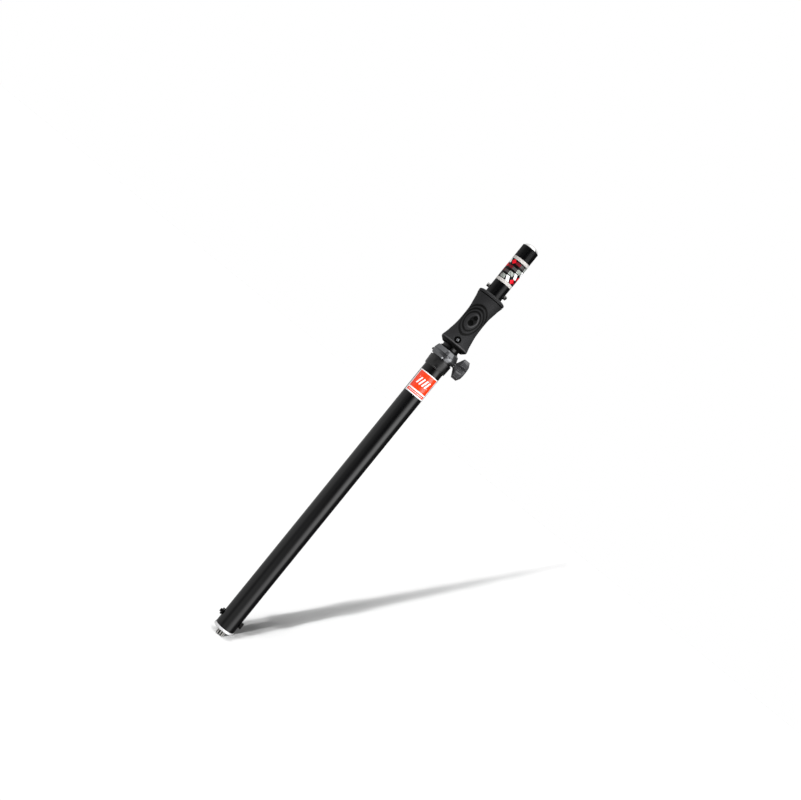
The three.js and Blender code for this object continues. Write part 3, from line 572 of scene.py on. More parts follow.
# Black oxide on steel, oiled: black, with hardly a sheen on its edges.
black_oxide, tree, shader = surfaced("black oxide steel", "#060606", 0.45, Specular_IOR_Level=0.15)
uneven(tree, shader, 0.34, 0.5, 3)
grained(tree, shader, 0.6, 0.006)

at_bolt = Matrix.Translation((0, 0, BOLT_HEIGHT)) @ ALONG_X
nut_face = -BOLT_SEAT - NUT_HEIGHT
head = hexagon(BOLT_FLATS, BOLT_SEAT, BOLT_SEAT + BOLT_HEAD, BLUNT_FACE, start=math.pi / 6)
base_bolt = skinned("base_bolt_blacked", head, black_oxide, at_bolt)
core = BOLT_RADIUS - BOLT_DEPTH
shank = skinned("shank", turned([
    (0, nut_face - OVERLAP), (core, nut_face - OVERLAP), (core, nut_face + NECK_END),
    (BOLT_RADIUS, nut_face + SHANK_START), (BOLT_RADIUS, BOLT_SEAT + OVERLAP),
    (0, BOLT_SEAT + OVERLAP),
], sides=48), black_oxide, at_bolt)
tip = grown("bolt_tip", thread_tree, {
    "Radius": BOLT_RADIUS, "Depth": BOLT_DEPTH, "Pitch": BOLT_PITCH, "Foot": nut_face - BOLT_TIP,
    "Top": nut_face + TIP_ROOT, "Point": TIP_POINT, "Flutes": 0, "Flute Depth": 0, "Rings": 60,
    "Sides": 72, "Material": black_oxide,
}, Matrix.Translation((0, 0, BOLT_HEIGHT * MM)) @ ALONG_X)
carved(base_bolt, shank, tip, operation="UNION")
fitted(base_bolt, "lower", "black_steel", "base_bolt")

nut = hexagon(BOLT_FLATS, nut_face, -BOLT_SEAT, BLUNT_FACE, BLUNT_FACE)
base_nut = skinned("base_nut_blacked", nut, black_oxide, at_bolt)
bore = lathed("nut_bore", [
    (0, nut_face - OVERLAP, 0), (BOLT_RADIUS + NUT_FLARE, nut_face - OVERLAP, 0),
    (BOLT_RADIUS + NUT_PLAY, nut_face + NUT_MOUTH, 0), (BOLT_RADIUS + NUT_PLAY, 0, 0), (0, 0, 0),
], black_oxide, at_bolt, sides=48)
carved(base_nut, bore)
fitted(base_nut, "lower", "black_steel", "base_bolt_nut")


# Lower sticker. Printed vinyl, stuck on the front of the tube under the collar. It has an orange
# field over an orange band in a white border, slanted bars in the field and dashes in the band.
STICKER_BORE, STICKER_THICK = 22.24, 0.16
STICKER_FOOT, STICKER_TOP = 620, 673.6
STICKER_MIDDLE, STICKER_HALF = math.radians(3.5), math.radians(71)
STICKER_STEPS = 72
STICKER_SHIFT = 1.4  # from the front of the tube to the middle of the print
FIELD_HALF = 24.4
FIELD = (12.2, 51.4)  # foot and top of the orange field, over the sticker's foot
BAND = (2.8, 9)
BARS_HALF = (15, 8)
BAR_PITCH, BAR_HALF, BAR_SLANT = 7.2, 1.7, 0.3
DASHES_HALF = (20, 0.75)
DASH_PITCH, DASH_HALF = 4.4, 1.5
UV_UNIT = 100  # millimetres to one unit of the stickers' UV maps


def wrapped_uv(piece, radius, foot):
    """A UV map that runs round the pole from its front, and up from a sticker's foot."""
    mesh = piece.data
    layer = mesh.uv_layers.new(name="sticker").data
    for face in mesh.polygons:
        middle = math.atan2(face.center.x, -face.center.y)
        for corner in face.loop_indices:
            point = mesh.vertices[mesh.loops[corner].vertex_index].co
            turn = math.atan2(point.x, -point.y)
            turn += 2 * math.pi * round((middle - turn) / (2 * math.pi))
            layer[corner].uv = (radius * turn / UV_UNIT, (point.z / MM - foot) / UV_UNIT)


def laid_out(tree):
    """The place on a sticker in millimetres: to the right of its middle, and up from its foot."""
    place = add(tree, "ShaderNodeUVMap", uv_map="sticker")
    place = {0: place, "Scale": UV_UNIT}
    place = add(tree, "ShaderNodeVectorMath", place, operation="SCALE")
    return add(tree, "ShaderNodeSeparateXYZ", {0: place}).node.outputs[:2]


def block(tree, across, up, middle, half):
    """A printed rectangle: 1 inside it, 0 outside."""
    wide = {0: across, 1: middle[0], 2: half[0]}
    wide = add(tree, "ShaderNodeMath", wide, operation="COMPARE")
    tall = {0: up, 1: middle[1], 2: half[1]}
    tall = add(tree, "ShaderNodeMath", tall, operation="COMPARE")
    return add(tree, "ShaderNodeMath", {0: wide, 1: tall}, operation="MULTIPLY")


# Calendered vinyl with a gloss laminate: flat, even inks under a clear skin that takes a soft
# highlight, with the slight waviness of something stuck on by hand.
orange_vinyl, tree, shader = surfaced("orange printed vinyl", "#fdfdfd", 0.22, IOR=1.7)
grained(tree, shader, 9, 0.02, detail=0)
across, up = laid_out(tree)
across = add(tree, "ShaderNodeMath", {0: across, 1: STICKER_SHIFT}, operation="SUBTRACT")
field_middle = (FIELD[0] + FIELD[1]) / 2
band_middle = (BAND[0] + BAND[1]) / 2
slanted = {0: up, 1: -BAR_SLANT, 2: across}
slanted = add(tree, "ShaderNodeMath", slanted, operation="MULTIPLY_ADD")
slanted = {0: slanted, 1: BAR_SLANT * field_middle - BAR_PITCH / 2}
slanted = add(tree, "ShaderNodeMath", slanted, operation="ADD")
drawn = []
for line, pitch, half, place, size in (
    (slanted, BAR_PITCH, BAR_HALF, (0, field_middle), BARS_HALF),
    (across, DASH_PITCH, DASH_HALF, (0, band_middle), DASHES_HALF),
):
    stripe = add(tree, "ShaderNodeMath", {0: line, 1: pitch / 2}, operation="PINGPONG")
    stripe = add(tree, "ShaderNodeMath", {0: stripe, 1: half}, operation="LESS_THAN")
    limits = block(tree, across, up, place, size)
    drawn.append(add(tree, "ShaderNodeMath", {0: stripe, 1: limits}, operation="MULTIPLY"))
ink = None
for sign, shape in (
    ("ADD", block(tree, across, up, (0, field_middle), (FIELD_HALF, (FIELD[1] - FIELD[0]) / 2))),
    ("ADD", block(tree, across, up, (0, band_middle), (FIELD_HALF, (BAND[1] - BAND[0]) / 2))),
    ("SUBTRACT", drawn[0]),
    ("SUBTRACT", drawn[1]),
):
    ink = add(tree, "ShaderNodeMath", {0: ink, 1: shape}, operation=sign) if ink else shape
inks = {"Factor": ink, 6: linear("#fdfdfd"), 7: linear("#ff3c03")}
inks = add(tree, "ShaderNodeMix", inks, out=2, data_type="RGBA")
tree.links.new(inks, shader.inputs["Base Color"])

rings = []
for step in range(STICKER_STEPS + 1):
    turn = STICKER_MIDDLE + STICKER_HALF * (2 * step / STICKER_STEPS - 1)
    rings.append([
        (radius * math.sin(turn), -radius * math.cos(turn), z)
        for radius, z in (
            (STICKER_BORE, STICKER_FOOT), (STICKER_BORE + STICKER_THICK, STICKER_FOOT),
            (STICKER_BORE + STICKER_THICK, STICKER_TOP), (STICKER_BORE, STICKER_TOP),
        )
    ])
lower_sticker = skinned("lower_sticker", rings, orange_vinyl, capped=True)
wrapped_uv(lower_sticker, STICKER_BORE + STICKER_THICK, STICKER_FOOT)
fitted(lower_sticker, "lower", "orange_vinyl", "lower_label")


# Sleeve. A black nylon moulding, pushed onto the tube under the collar. It widens a little to its
# top, with a bead round its foot and a groove against the collar.
SLEEVE_FOOT, SLEEVE_TOP = 688.7, 713.5
SLEEVE_BORE = 22.3
SLEEVE_FOOT_RADIUS, SLEEVE_TOP_RADIUS, SLEEVE_GROOVE, SLEEVE_NECK = 24.2, 25.6, 2.2, 22.8
SLEEVE_BEAD = ((0.5, 2.2), (0.1, 2.8), (0.6, 3.6))  # out and up from the edge of the foot

# Moulded nylon 6: black with a low satin gloss, and a fine spark-eroded grain from its mould.
black_nylon, tree, shader = surfaced("black moulded nylon", "#080809", 0.26, IOR=1.62)
grained(tree, shader, 0.9, 0.01)
uneven(tree, shader, 0.24, 0.34, 14)

sleeve = lathed("tube_sleeve_moulded", [
    (SLEEVE_FOOT_RADIUS, SLEEVE_FOOT, 0.6),
    *[(SLEEVE_FOOT_RADIUS + out, SLEEVE_FOOT + up, 0) for out, up in SLEEVE_BEAD],
    (SLEEVE_TOP_RADIUS, SLEEVE_TOP - SLEEVE_GROOVE, 0.2),
    (SLEEVE_NECK, SLEEVE_TOP - SLEEVE_GROOVE, 0), (SLEEVE_NECK, SLEEVE_TOP, 0),
    (SLEEVE_BORE, SLEEVE_TOP, 0), (SLEEVE_BORE, SLEEVE_FOOT, 0),
], black_nylon)
fitted(sleeve, "lower", "black_nylon", "tube_sleeve")


# Clamp collar. A barrel-shaped moulding in metallic grey nylon, set over the end of the tube and
# pinned by a screw. It has a boss for the knob's stud, and an index slot in its front.
COLLAR_FOOT, COLLAR_TOP = 713.7, 736.8
COLLAR_BORE, COLLAR_MOUTH = 22.35, 20.5
COLLAR_STEP = 732.2
COLLAR_LIP, COLLAR_EDGE = 23.8, 0.3
COLLAR_OUTLINE = [(25.7, 713.8), (27, 716.2), (28, 718.6), (28.2, 719.8), (28.2, 725.8),
                  (27.95, 727.1), (27.2, 729.4), (25.9, 733.4), (25.2, 735.2), (24, 736.7)]
COLLAR_STEPS = 32
KNOB_HEIGHT = 720.1
BOSS_RADIUS, BOSS_FACE, BOSS_BORE = 6.3, 31.6, 4.2
BOSS_ROOT, BORE_ROOT = 25, 15  # how far from Z the boss and its bore start
SLOT_TURN, SLOT_HEIGHT, SLOT_FACE = math.radians(16.5), 724, 28.2
SLOT_SIZE, SLOT_EDGE = (8, 6, 2.2), 0.6


def curve_through(points, steps):
    """A smooth curve through points, as a list of places an equal share apart."""
    knots = np.array([2 * np.array(points[0]) - points[1], *points,
                      2 * np.array(points[-1]) - points[-2]], float)
    curve = []
    for t in np.linspace(0, len(points) - 1, steps + 1):
        i = min(int(t), len(points) - 2)
        u = t - i
        a, b, c, d = knots[i : i + 4]
        curve.append(tuple(0.5 * (2 * b + (c - a) * u + (2 * a - 5 * b + 4 * c - d) * u**2
                                  + (3 * b - a - 3 * c + d) * u**3)))
    return curve


def chock(name, size, edge, turn):
    """A cutting block of a size along X, Y and Z, rounded along Y and turned into place."""
    x, y, z = (side / 2 for side in size)
    loop = rounded([(-x, -z, edge), (x, -z, edge), (x, z, edge), (-x, z, edge)])
    rings = [[(across, depth, up) for across, up in loop] for depth in (-y, y)]
    return skinned(name, rings, black_nylon, turn, capped=True)


# Nylon filled with a metallic grey pigment: flakes mottle it, and it shines more like a casting
# than a plastic, with the softbox drawn clearly down its right side.
grey_nylon, tree, shader = surfaced("grey metallic nylon", "#737476", 0.16, Metallic=0.85)
flakes = {0: mottled(tree, 1.6, 4, roughness=0.7)}
flakes = add(tree, "ShaderNodeValToRGB", flakes, stops=[
    (0.3, linear("#6a6b6d")), (0.7, linear("#7c7d7f")),
])
tree.links.new(flakes, shader.inputs["Base Color"])
grained(tree, shader, 1.1, 0.008)
uneven(tree, shader, 0.13, 0.2, 8)

barrel = turned([
    (COLLAR_BORE, COLLAR_FOOT), *curve_through(COLLAR_OUTLINE, COLLAR_STEPS),
    (COLLAR_LIP, COLLAR_TOP), (COLLAR_MOUTH + COLLAR_EDGE, COLLAR_TOP),
    (COLLAR_MOUTH, COLLAR_TOP - COLLAR_EDGE), (COLLAR_MOUTH, COLLAR_STEP),
    (COLLAR_BORE, COLLAR_STEP),
])
collar = skinned("clamp_collar_moulded", barrel, grey_nylon, loop=True)
at_knob = Matrix.Translation((0, 0, KNOB_HEIGHT)) @ ALONG_X
boss = lathed("boss", [
    (0, BOSS_ROOT, 0), (BOSS_RADIUS, BOSS_ROOT, 0), (BOSS_RADIUS, BOSS_FACE, 0.4),
    (0, BOSS_FACE, 0),
], grey_nylon, at_knob, sides=64)
carved(collar, boss, operation="UNION")
stud_hole = skinned("stud_hole", turned([
    (0, BORE_ROOT), (BOSS_BORE, BORE_ROOT), (BOSS_BORE, BOSS_FACE + OVERLAP),
    (0, BOSS_FACE + OVERLAP),
], sides=48), grey_nylon, at_knob)
slot_place = Matrix.Translation((0, -SLOT_FACE, SLOT_HEIGHT))
slot = chock("slot", SLOT_SIZE, SLOT_EDGE, Matrix.Rotation(SLOT_TURN, 4, "Z") @ slot_place)
carved(collar, stud_hole, slot)
fitted(collar, "lower", "grey_nylon", "clamp_collar")


# Collar screw. A small pan-head screw of blacked steel with a recess in its head. It pins the
# collar to the tube, opposite the knob.
SCREW_RADIUS, SCREW_HEAD, SCREW_RECESS = 1.6, 2.3, 0.9
SCREW_FOOT, SCREW_SEAT, SCREW_FLOOR, SCREW_TOP = 20.9, 28, 29, 30.1
at_screw = Matrix.Translation((0, 0, KNOB_HEIGHT)) @ Matrix.Rotation(math.radians(-90), 4, "Y")
collar_screw = lathed("collar_screw_blacked", [
    (0, SCREW_FOOT, 0), (SCREW_RADIUS, SCREW_FOOT, 0), (SCREW_RADIUS, SCREW_SEAT, 0),
    (SCREW_HEAD, SCREW_SEAT, 0.15), (SCREW_HEAD, SCREW_TOP, 1.1), (SCREW_RECESS, SCREW_TOP, 0.1),
    (SCREW_RECESS, SCREW_FLOOR, 0), (0, SCREW_FLOOR, 0),
], black_oxide, at_screw, sides=40)
fitted(collar_screw, "lower", "black_steel", "collar_screw")


# Guide bushing. A black acetal bush in the mouth of the lower tube, which the upper tube runs
# through. Its lip stands over the collar.
BUSH_BORE, BUSH_RADIUS, BUSH_LIP = 19.35, 20.275, 20.925
BUSH_FOOT, BUSH_SEAT, BUSH_TOP = 696, COLLAR_TOP + 0.05, 739.4

# Black acetal: it slides without grease, and takes nearly all the light it is given.
black_acetal, tree, shader = surfaced("black acetal", "#020202", 0.5, Specular_IOR_Level=0.1)
uneven(tree, shader, 0.45, 0.55, 6)

bushing = lathed("guide_bushing_moulded", [
    (BUSH_RADIUS, BUSH_FOOT, 0.2), (BUSH_RADIUS, BUSH_SEAT, 0), (BUSH_LIP, BUSH_SEAT, 0.2),
    (BUSH_LIP, BUSH_TOP, 0.7), (BUSH_BORE, BUSH_TOP, 0.5), (BUSH_BORE, BUSH_FOOT, 0.2),
], black_acetal)
fitted(bushing, "lower", "black_nylon", "guide_bushing")


# Lock knob. Black nylon with three lobes, moulded round its stud. It flares from a round hub to
# the lobes, whose front is bevelled to a crowned face. One valley faces the front.
LOBES, LOBE_OFFSET, LOBE_RADIUS = 3, 15, 10.4
LOBE_STEPS, VALLEY_STEPS = 90, 14
LOBE_SOFTENING = 3  # neighbours on each side that even out the corners of the valleys
HUB_FACE, HUB_RADIUS, HUB_LENGTH = 28.325, 7.8, 0.9
HUB_EDGE, SKIRT_EDGE = 0.4, 0.2
SKIRT_BORE, SKIRT_DEPTH = 6.6, 3.575
SWELL = 20  # millimetres that a full swell stands for while the profile's edges are rounded
KNOB_STATIONS = [  # distance along the screw, and swell from the hub (0) to the full lobes (1)
    (36.2, 0.9, 0.6), (37.4, 1.0, 0.9), (49.6, 1.0, 1.0), (54.6, 0.45, 1.6),
]
KNOB_CROWN = 55.9
FACE_RINGS = (0.8, 0.6, 0.4, 0.2)  # sizes of the rings of the crowned face


def lobed_outline():
    """Points round the knob: round lobes on a round core, with their inner corners softened."""
    lean = math.asin(LOBE_RADIUS / LOBE_OFFSET)
    core = math.sqrt(LOBE_OFFSET**2 - LOBE_RADIUS**2)
    points = []
    for lobe in range(LOBES):
        axis = math.pi / 2 + 2 * math.pi * lobe / LOBES
        middle = LOBE_OFFSET * np.array((math.cos(axis), math.sin(axis)))
        for turn in np.linspace(-math.pi / 2 - lean, math.pi / 2 + lean, LOBE_STEPS):
            arm = LOBE_RADIUS * np.array((math.cos(axis + turn), math.sin(axis + turn)))
            points.append(middle + arm)
        for turn in np.linspace(lean, 2 * math.pi / LOBES - lean, VALLEY_STEPS)[1:-1]:
            points.append(core * np.array((math.cos(axis + turn), math.sin(axis + turn))))
    points = np.array(points)
    near = range(-LOBE_SOFTENING, LOBE_SOFTENING + 1)
    return sum(np.roll(points, shift, axis=0) for shift in near) / len(near)


outline = lobed_outline()
reaches = np.hypot(*outline.T)
around = outline / reaches[:, None]


def knob_ring(distance, swell):
    """A ring of the knob: the hub's circle, swollen towards the lobes."""
    radii = HUB_RADIUS + (reaches - HUB_RADIUS) * swell
    return [(*(way * radius), distance) for way, radius in zip(around, radii)]


profile = rounded([
    (0, HUB_FACE + HUB_LENGTH, 0),
    *[(swell * SWELL, far, edge) for far, swell, edge in KNOB_STATIONS],
    (0, KNOB_CROWN, 0),
])
skirt = [[(0, 0, HUB_FACE + SKIRT_DEPTH)]]
for radius, far in (
    (SKIRT_BORE, HUB_FACE + SKIRT_DEPTH), (SKIRT_BORE, HUB_FACE + SKIRT_EDGE),
    (SKIRT_BORE + SKIRT_EDGE, HUB_FACE), (HUB_RADIUS - HUB_EDGE, HUB_FACE),
    (HUB_RADIUS, HUB_FACE + HUB_EDGE),
):
    skirt.append([(*(way * radius), far) for way in around])
lobes = [knob_ring(far, swell / SWELL) for swell, far in profile[:-1]]
face = [[(x * share, y * share, z + (KNOB_CROWN - z) * (1 - share**2)) for x, y, z in lobes[-1]]
        for share in FACE_RINGS]

# Moulded nylon, handled and a little polished: glossier than the sleeve, so its lobes shine.
knob_nylon, tree, shader = surfaced("black polished nylon", "#3c3c3e", 0.3, IOR=1.53)
grained(tree, shader, 1.4, 0.012)
uneven(tree, shader, 0.22, 0.36, 7)

rings = [*skirt, *lobes, *face, [(0, 0, KNOB_CROWN)]]
knob = skinned("lock_knob_moulded", rings, knob_nylon, at_knob)
fitted(knob, "knob", "black_nylon", "lock_knob")


# Upper tube. Steel tube of 38.1 mm in the same coat, open at its foot and chamfered at its rim.
# The bushing has drawn fine lines down it.
MAST_RADIUS, MAST_BORE = 19.05, 17.25
MAST_FOOT, MAST_TOP = 70, 1004
MAST_CHAMFER = 0.6

# The same powder coat, whose gloss changes a little from one fine upright line to the next.
worn_coat, tree, shader = surfaced("black powder coat, run in", "#060607", 0.18)
grained(tree, shader, 2.5, 0.01, detail=1)
uneven(tree, shader, 0.15, 0.23, 1.6, (1, 1, 0.02))

upper_tube = lathed("upper_tube_coated", [
    (MAST_RADIUS, MAST_FOOT, 0.3), (MAST_RADIUS, MAST_TOP - MAST_CHAMFER, 0.3),
    (MAST_RADIUS - MAST_CHAMFER, MAST_TOP, 0.3), (MAST_BORE, MAST_TOP, 0.2),
    (MAST_BORE, MAST_FOOT, 0.3),
], worn_coat)
fitted(upper_tube, "mast", "black_powder_coat", "upper_tube")


# Grip. Two shells in a charcoal rubbery moulding, screwed together over the upper tube. The waist
# has an oval dish front and rear with ripples round it, and pockets lighten the foot.
GRIP_FOOT, GRIP_HEIGHT = 745.4, 125.8
GRIP_BORE = 19.2
GRIP_UNDERSIDE = [(24.0, 0, 0.6), (31.0, 6.2, 0), (31.8, 7.9, 0)]  # radius, height, edge round
GRIP_OUTLINE = [(32, 9.2), (31.9, 10.8), (31.3, 13.4), (30, 18), (28.8, 23), (27.3, 32),
                (25.4, 43.5), (24.45, 55), (24.1, 67), (24.1, 80), (24.8, 92), (26.7, 104),
                (28.7, 116), (30.2, 121.9), (31.35, 125.8)]
GRIP_STEPS, GRIP_ROWS, GRIP_COLUMNS = 600, 210, 190
SEAM_GAP, SEAM_DEPTH, SEAM_WIDTH = 0.1, 0.4, 0.5
DISH_HEIGHT = 813.4
DISH_REACH, DISH_STRETCH, DISH_POWER = 8.6, 1.45, 1.7
DISH_DEPTH, DISH_WALL = 0.45, 1.6
DISH_LOBES = [(1, 7.4, 5), (-1.6, -6.4, 6.3)]  # across, up, radius
LOBE_DEPTH, LOBE_WALL = 2.4, 1.5
RIM_PLACE, RIM_WIDTH = 1.6, 0.9
RIM_ENDS, RIM_HEIGHTS = (-6, 6), (0.06, 0.34)  # the rim is low on the left and high on the right
RIPPLE_PITCH, RIPPLE_SHIFT, RIPPLE_POWER, RIPPLE_FIRST = 7, -2, 1.75, 16.9
RIPPLES = ((1.15, 0.85, 32), (1.45, 0.6, 26))  # stretch, depth and reach, above and below the dish
RIPPLE_START, RIPPLE_END = 3, 4  # lengths over which the ripples come and go
POCKETS, POCKET_MIDDLE, POCKET_TURN, POCKET_EDGE = 12, 24.25, math.radians(15), 1.2
POCKET_SIZE = (5.5, 13, 8.5)  # outward, up, where half of it lies under the foot, and round Z
WELL_HEIGHT, WELL_RADIUS, WELL_FLOOR, WELL_MOUTH = 763.6, 7.5, 25.1, 40
# Painted highlight: below the last of these heights the lower edge is painted paler, and the first
# is how far over its outline, in mm, the skin is painted palest.
PAINTED_LIGHT, PAINTED_LIGHT_FOOT, PAINTED_LIGHT_TOP = 0.35, 754, 756.4
FRONTWARD = Matrix.Rotation(math.radians(90), 4, "X")


def eased(share):
    """A share from 0 to 1, eased in and out."""
    share = np.clip(share, 0, 1)
    return share * share * (3 - 2 * share)


def grip_relief(turn, radius, height):
    """How far the skin of a shell lies over its outline: dish, rim, ripples and seam."""
    across, up = radius * turn, height - DISH_HEIGHT
    reach = abs(across) ** DISH_POWER + abs(up / DISH_STRETCH) ** DISH_POWER
    out = reach ** (1 / DISH_POWER) - DISH_REACH
    dish = DISH_DEPTH * eased(-out / DISH_WALL)
    lobes = [eased((size - math.hypot(across - x, up - y)) / LOBE_WALL)
             for x, y, size in DISH_LOBES]
    rim = math.exp(-(((out - RIM_PLACE) / RIM_WIDTH) ** 2))
    rim *= np.interp(across, RIM_ENDS, RIM_HEIGHTS)
    stretch, depth, last = RIPPLES[int(up < 0)]
    far = abs(across - RIPPLE_SHIFT) ** RIPPLE_POWER + abs(up / stretch) ** RIPPLE_POWER
    far **= 1 / RIPPLE_POWER
    depth *= eased((far - RIPPLE_FIRST) / RIPPLE_START + 1) * eased((last - far) / RIPPLE_END + 1)
    ripple = depth * math.cos(math.pi * (far - RIPPLE_FIRST) / RIPPLE_PITCH) ** 2
    seam = SEAM_DEPTH * math.exp(-(((math.pi / 2 - abs(turn)) * radius / SEAM_WIDTH) ** 2))
    return rim - ripple - dish - LOBE_DEPTH * max(lobes) - seam


# Thermoplastic rubber, moulded with a fine matt grain: charcoal, with no clear reflections. Its
# colour is painted black as shade where it lies under its outline, on the underside, in ripples,
# dish, wells, pockets and the ring's groove, and painted paler as a highlight where it stands over
# it, on the dish's rim and the lower edge.
rubber, tree, shader = surfaced("charcoal moulded rubber", "#2d2d2e", 0.5, Specular_IOR_Level=0.15)
grained(tree, shader, 0.9, 0.03, detail=3)
uneven(tree, shader, 0.46, 0.62, 11)
sunk = add(tree, "ShaderNodeAttribute", out="Fac", attribute_name="sunk")
sunk = add(tree, "ShaderNodeMapRange", {0: sunk, 1: -0.5, 2: 1})
# Painted highlight, then plain charcoal, then painted shade, deepest last.
sunk = add(tree, "ShaderNodeValToRGB", {0: sunk}, stops=[
    (0, linear("#565556")), (0.33, linear("#29292a")), (0.6, linear("#101010")),
    (0.9, linear("#010101")),
])
tree.links.new(sunk, shader.inputs["Base Color"])


def shaded(piece, outline, least=0):
    """Notes how far each point of a piece lies under its outline, at least least: painted shade, or
    a painted highlight below nothing.
    """
    note = piece.data.attributes.new("sunk", "FLOAT", "POINT").data
    radii, heights = zip(*outline)
    for point, vertex in zip(note, piece.data.vertices):
        x, y, z = vertex.co / MM
        point.value = max(np.interp(z, heights, radii) - math.hypot(x, y), least)


# The tree for whatever stands round the pole: copies of one piece, evenly about Z.
round_tree, given = recipe("copies round the pole", {
    "Piece": "Object", "Count": "Int", "Material": "Material",
})
copies = add(round_tree, "GeometryNodePoints", {"Count": given["Count"]})
number = add(round_tree, "GeometryNodeInputIndex")
step = add(round_tree, "ShaderNodeMath", {0: 2 * math.pi, 1: given["Count"]}, operation="DIVIDE")
turn = add(round_tree, "ShaderNodeMath", {0: number, 1: step}, operation="MULTIPLY")
turn = add(round_tree, "ShaderNodeCombineXYZ", {2: turn})
piece = add(round_tree, "GeometryNodeObjectInfo", {"Object": given["Piece"]}, out="Geometry")
copies = {"Points": copies, "Instance": piece, "Rotation": turn}
copies = add(round_tree, "GeometryNodeInstanceOnPoints", copies)
served(round_tree, copies, given["Material"])


def copied_round(name, piece, count, material):
    """Copies of a piece evenly about the pole, in one mesh."""
    copies = {"Piece": piece, "Count": count, "Material": material}
    made = grown(name, round_tree, copies)
    bpy.data.objects.remove(piece)
    return made


underside = rounded([(GRIP_BORE, 0, 0), *GRIP_UNDERSIDE])
curve = curve_through(GRIP_OUTLINE, GRIP_STEPS)
skin_heights = np.linspace(curve[0][1], curve[-1][1], GRIP_ROWS)
skin_radii = np.interp(skin_heights, [up for _, up in curve], [radius for radius, _ in curve])
skin = list(zip(skin_radii, skin_heights + GRIP_FOOT))
lit_outline = [(radius - PAINTED_LIGHT * (z < PAINTED_LIGHT_TOP), z) for radius, z in skin]
outline = [(radius, GRIP_FOOT + up) for radius, up in underside]
outline += skin + [(GRIP_BORE, GRIP_FOOT + GRIP_HEIGHT)]
for node, facing in (("grip_front", 1), ("grip_rear", -1)):
    rings = []
    for turn in np.linspace(-math.pi / 2, math.pi / 2, GRIP_COLUMNS + 1):
        ring = []
        for i, (radius, z) in enumerate(outline):
            if len(underside) <= i < len(outline) - 1:
                radius += grip_relief(turn, radius, z)
            y = min(-radius * math.cos(turn), -SEAM_GAP)
            ring.append((facing * radius * math.sin(turn), facing * y, z))
        rings.append(ring)
    shell = skinned(node + "_moulded", rings, rubber, capped=True)

    at_pocket = Matrix.Translation((POCKET_MIDDLE, 0, GRIP_FOOT)) @ FRONTWARD
    at_pocket = Matrix.Rotation(POCKET_TURN, 4, "Z") @ at_pocket
    pocket = chock("pocket", POCKET_SIZE, POCKET_EDGE, at_pocket)
    pockets = copied_round("pockets", pocket, POCKETS, rubber)
    outward = Matrix.Rotation(math.radians(facing * 90), 4, "X")
    well = lathed("well", [
        (0, WELL_FLOOR, 0), (WELL_RADIUS, WELL_FLOOR, 0.5), (WELL_RADIUS, WELL_MOUTH, 0),
        (0, WELL_MOUTH, 0),
    ], rubber, Matrix.Translation((0, 0, WELL_HEIGHT)) @ outward, sides=72)
    carved(shell, pockets, well)
    # Painted shade where the skin lies deep, and a painted highlight on the lower edge and the
    # dish's rim.
    shaded(shell, [(GRIP_OUTLINE[0][0], PAINTED_LIGHT_FOOT), *lit_outline], -PAINTED_LIGHT)
    fitted(shell, "mast", "charcoal_rubber", node)


# Grip ring. A ring of the same rubber, moulded in one piece and pushed down the tube. It closes
# the top of the shells, over a narrow groove.
RING_NECK, RING_RADIUS = 27, 31.5
RING_FOOT, RING_LIP, RING_TOP = GRIP_FOOT + GRIP_HEIGHT + 0.02, 873.2, 881.4
RING_CROWN = ((RING_RADIUS, 3.6, 2.6), (27, 1.3, 2))  # radius, down from the top, edge round
RING_SHADE = 0.6  # height over the lip that is shaded as the groove is
grip_ring = lathed("grip_ring_moulded", [
    (RING_NECK, RING_FOOT, 0), (RING_NECK, RING_LIP, 0), (RING_RADIUS, RING_LIP, 0.4),
    *[(radius, RING_TOP - down, edge) for radius, down, edge in RING_CROWN],
    (GRIP_BORE, RING_TOP, 0.4), (GRIP_BORE, RING_FOOT, 0),
], rubber)
# Painted shade: the groove under the lip, and this much of the ring over it, are painted black.
shaded(grip_ring, [(RING_RADIUS, RING_LIP + RING_SHADE), (0, RING_LIP + RING_SHADE + 0.01)])
fitted(grip_ring, "mast", "charcoal_rubber", "grip_ring")


# Grip screws. Zinc plated pan-head screws with a cross recess, one at the bottom of each well,
# front and rear. One screw is made, and the tree sets both.
PAN_SEAT, PAN_TOP, PAN_RADIUS = 25.1, 27.9, 3.6
PAN_DOME, PAN_CROWN = 0.5, 1.2  # how far the edge lies under the top, and radius of its flat
PAN_SHANK, PAN_TIP, PAN_POINT = 2, 13.25, 2
CROSS_BLADE, CROSS_EDGE = (6, 3, 1.5), 0.2  # length, twice the depth, and width
CROSS_TURNS = (math.radians(20), math.radians(110))

# Zinc plate, bright passivated: a clear, faintly blue metal, a little dulled.
zinc, tree, shader = surfaced("zinc plate", "#b4b7bb", 0.26, Metallic=1)
uneven(tree, shader, 0.18, 0.34, 2)

screw = lathed("grip_screw", [
    (0, PAN_TIP, 0), (PAN_SHANK, PAN_TIP + PAN_POINT, 0), (PAN_SHANK, PAN_SEAT, 0),
    (PAN_RADIUS, PAN_SEAT, 0.2), (PAN_RADIUS, PAN_TOP - PAN_DOME, 1.5), (PAN_CROWN, PAN_TOP, 1),
    (0, PAN_TOP, 0),
], zinc, sides=64)
recess = []
for turn in CROSS_TURNS:
    at_top = Matrix.Translation((0, 0, PAN_TOP)) @ Matrix.Rotation(turn, 4, "Z") @ FRONTWARD
    recess.append(chock("recess", CROSS_BLADE, CROSS_EDGE, at_top))
carved(screw, *recess)
screw.data.transform(Matrix.Translation((0, 0, WELL_HEIGHT * MM)) @ FRONTWARD)
grip_screws = copied_round("grip_screws_plated", screw, 2, zinc)
fitted(grip_screws, "mast", "plain_steel", "grip_screw_front", "grip_screw_rear")


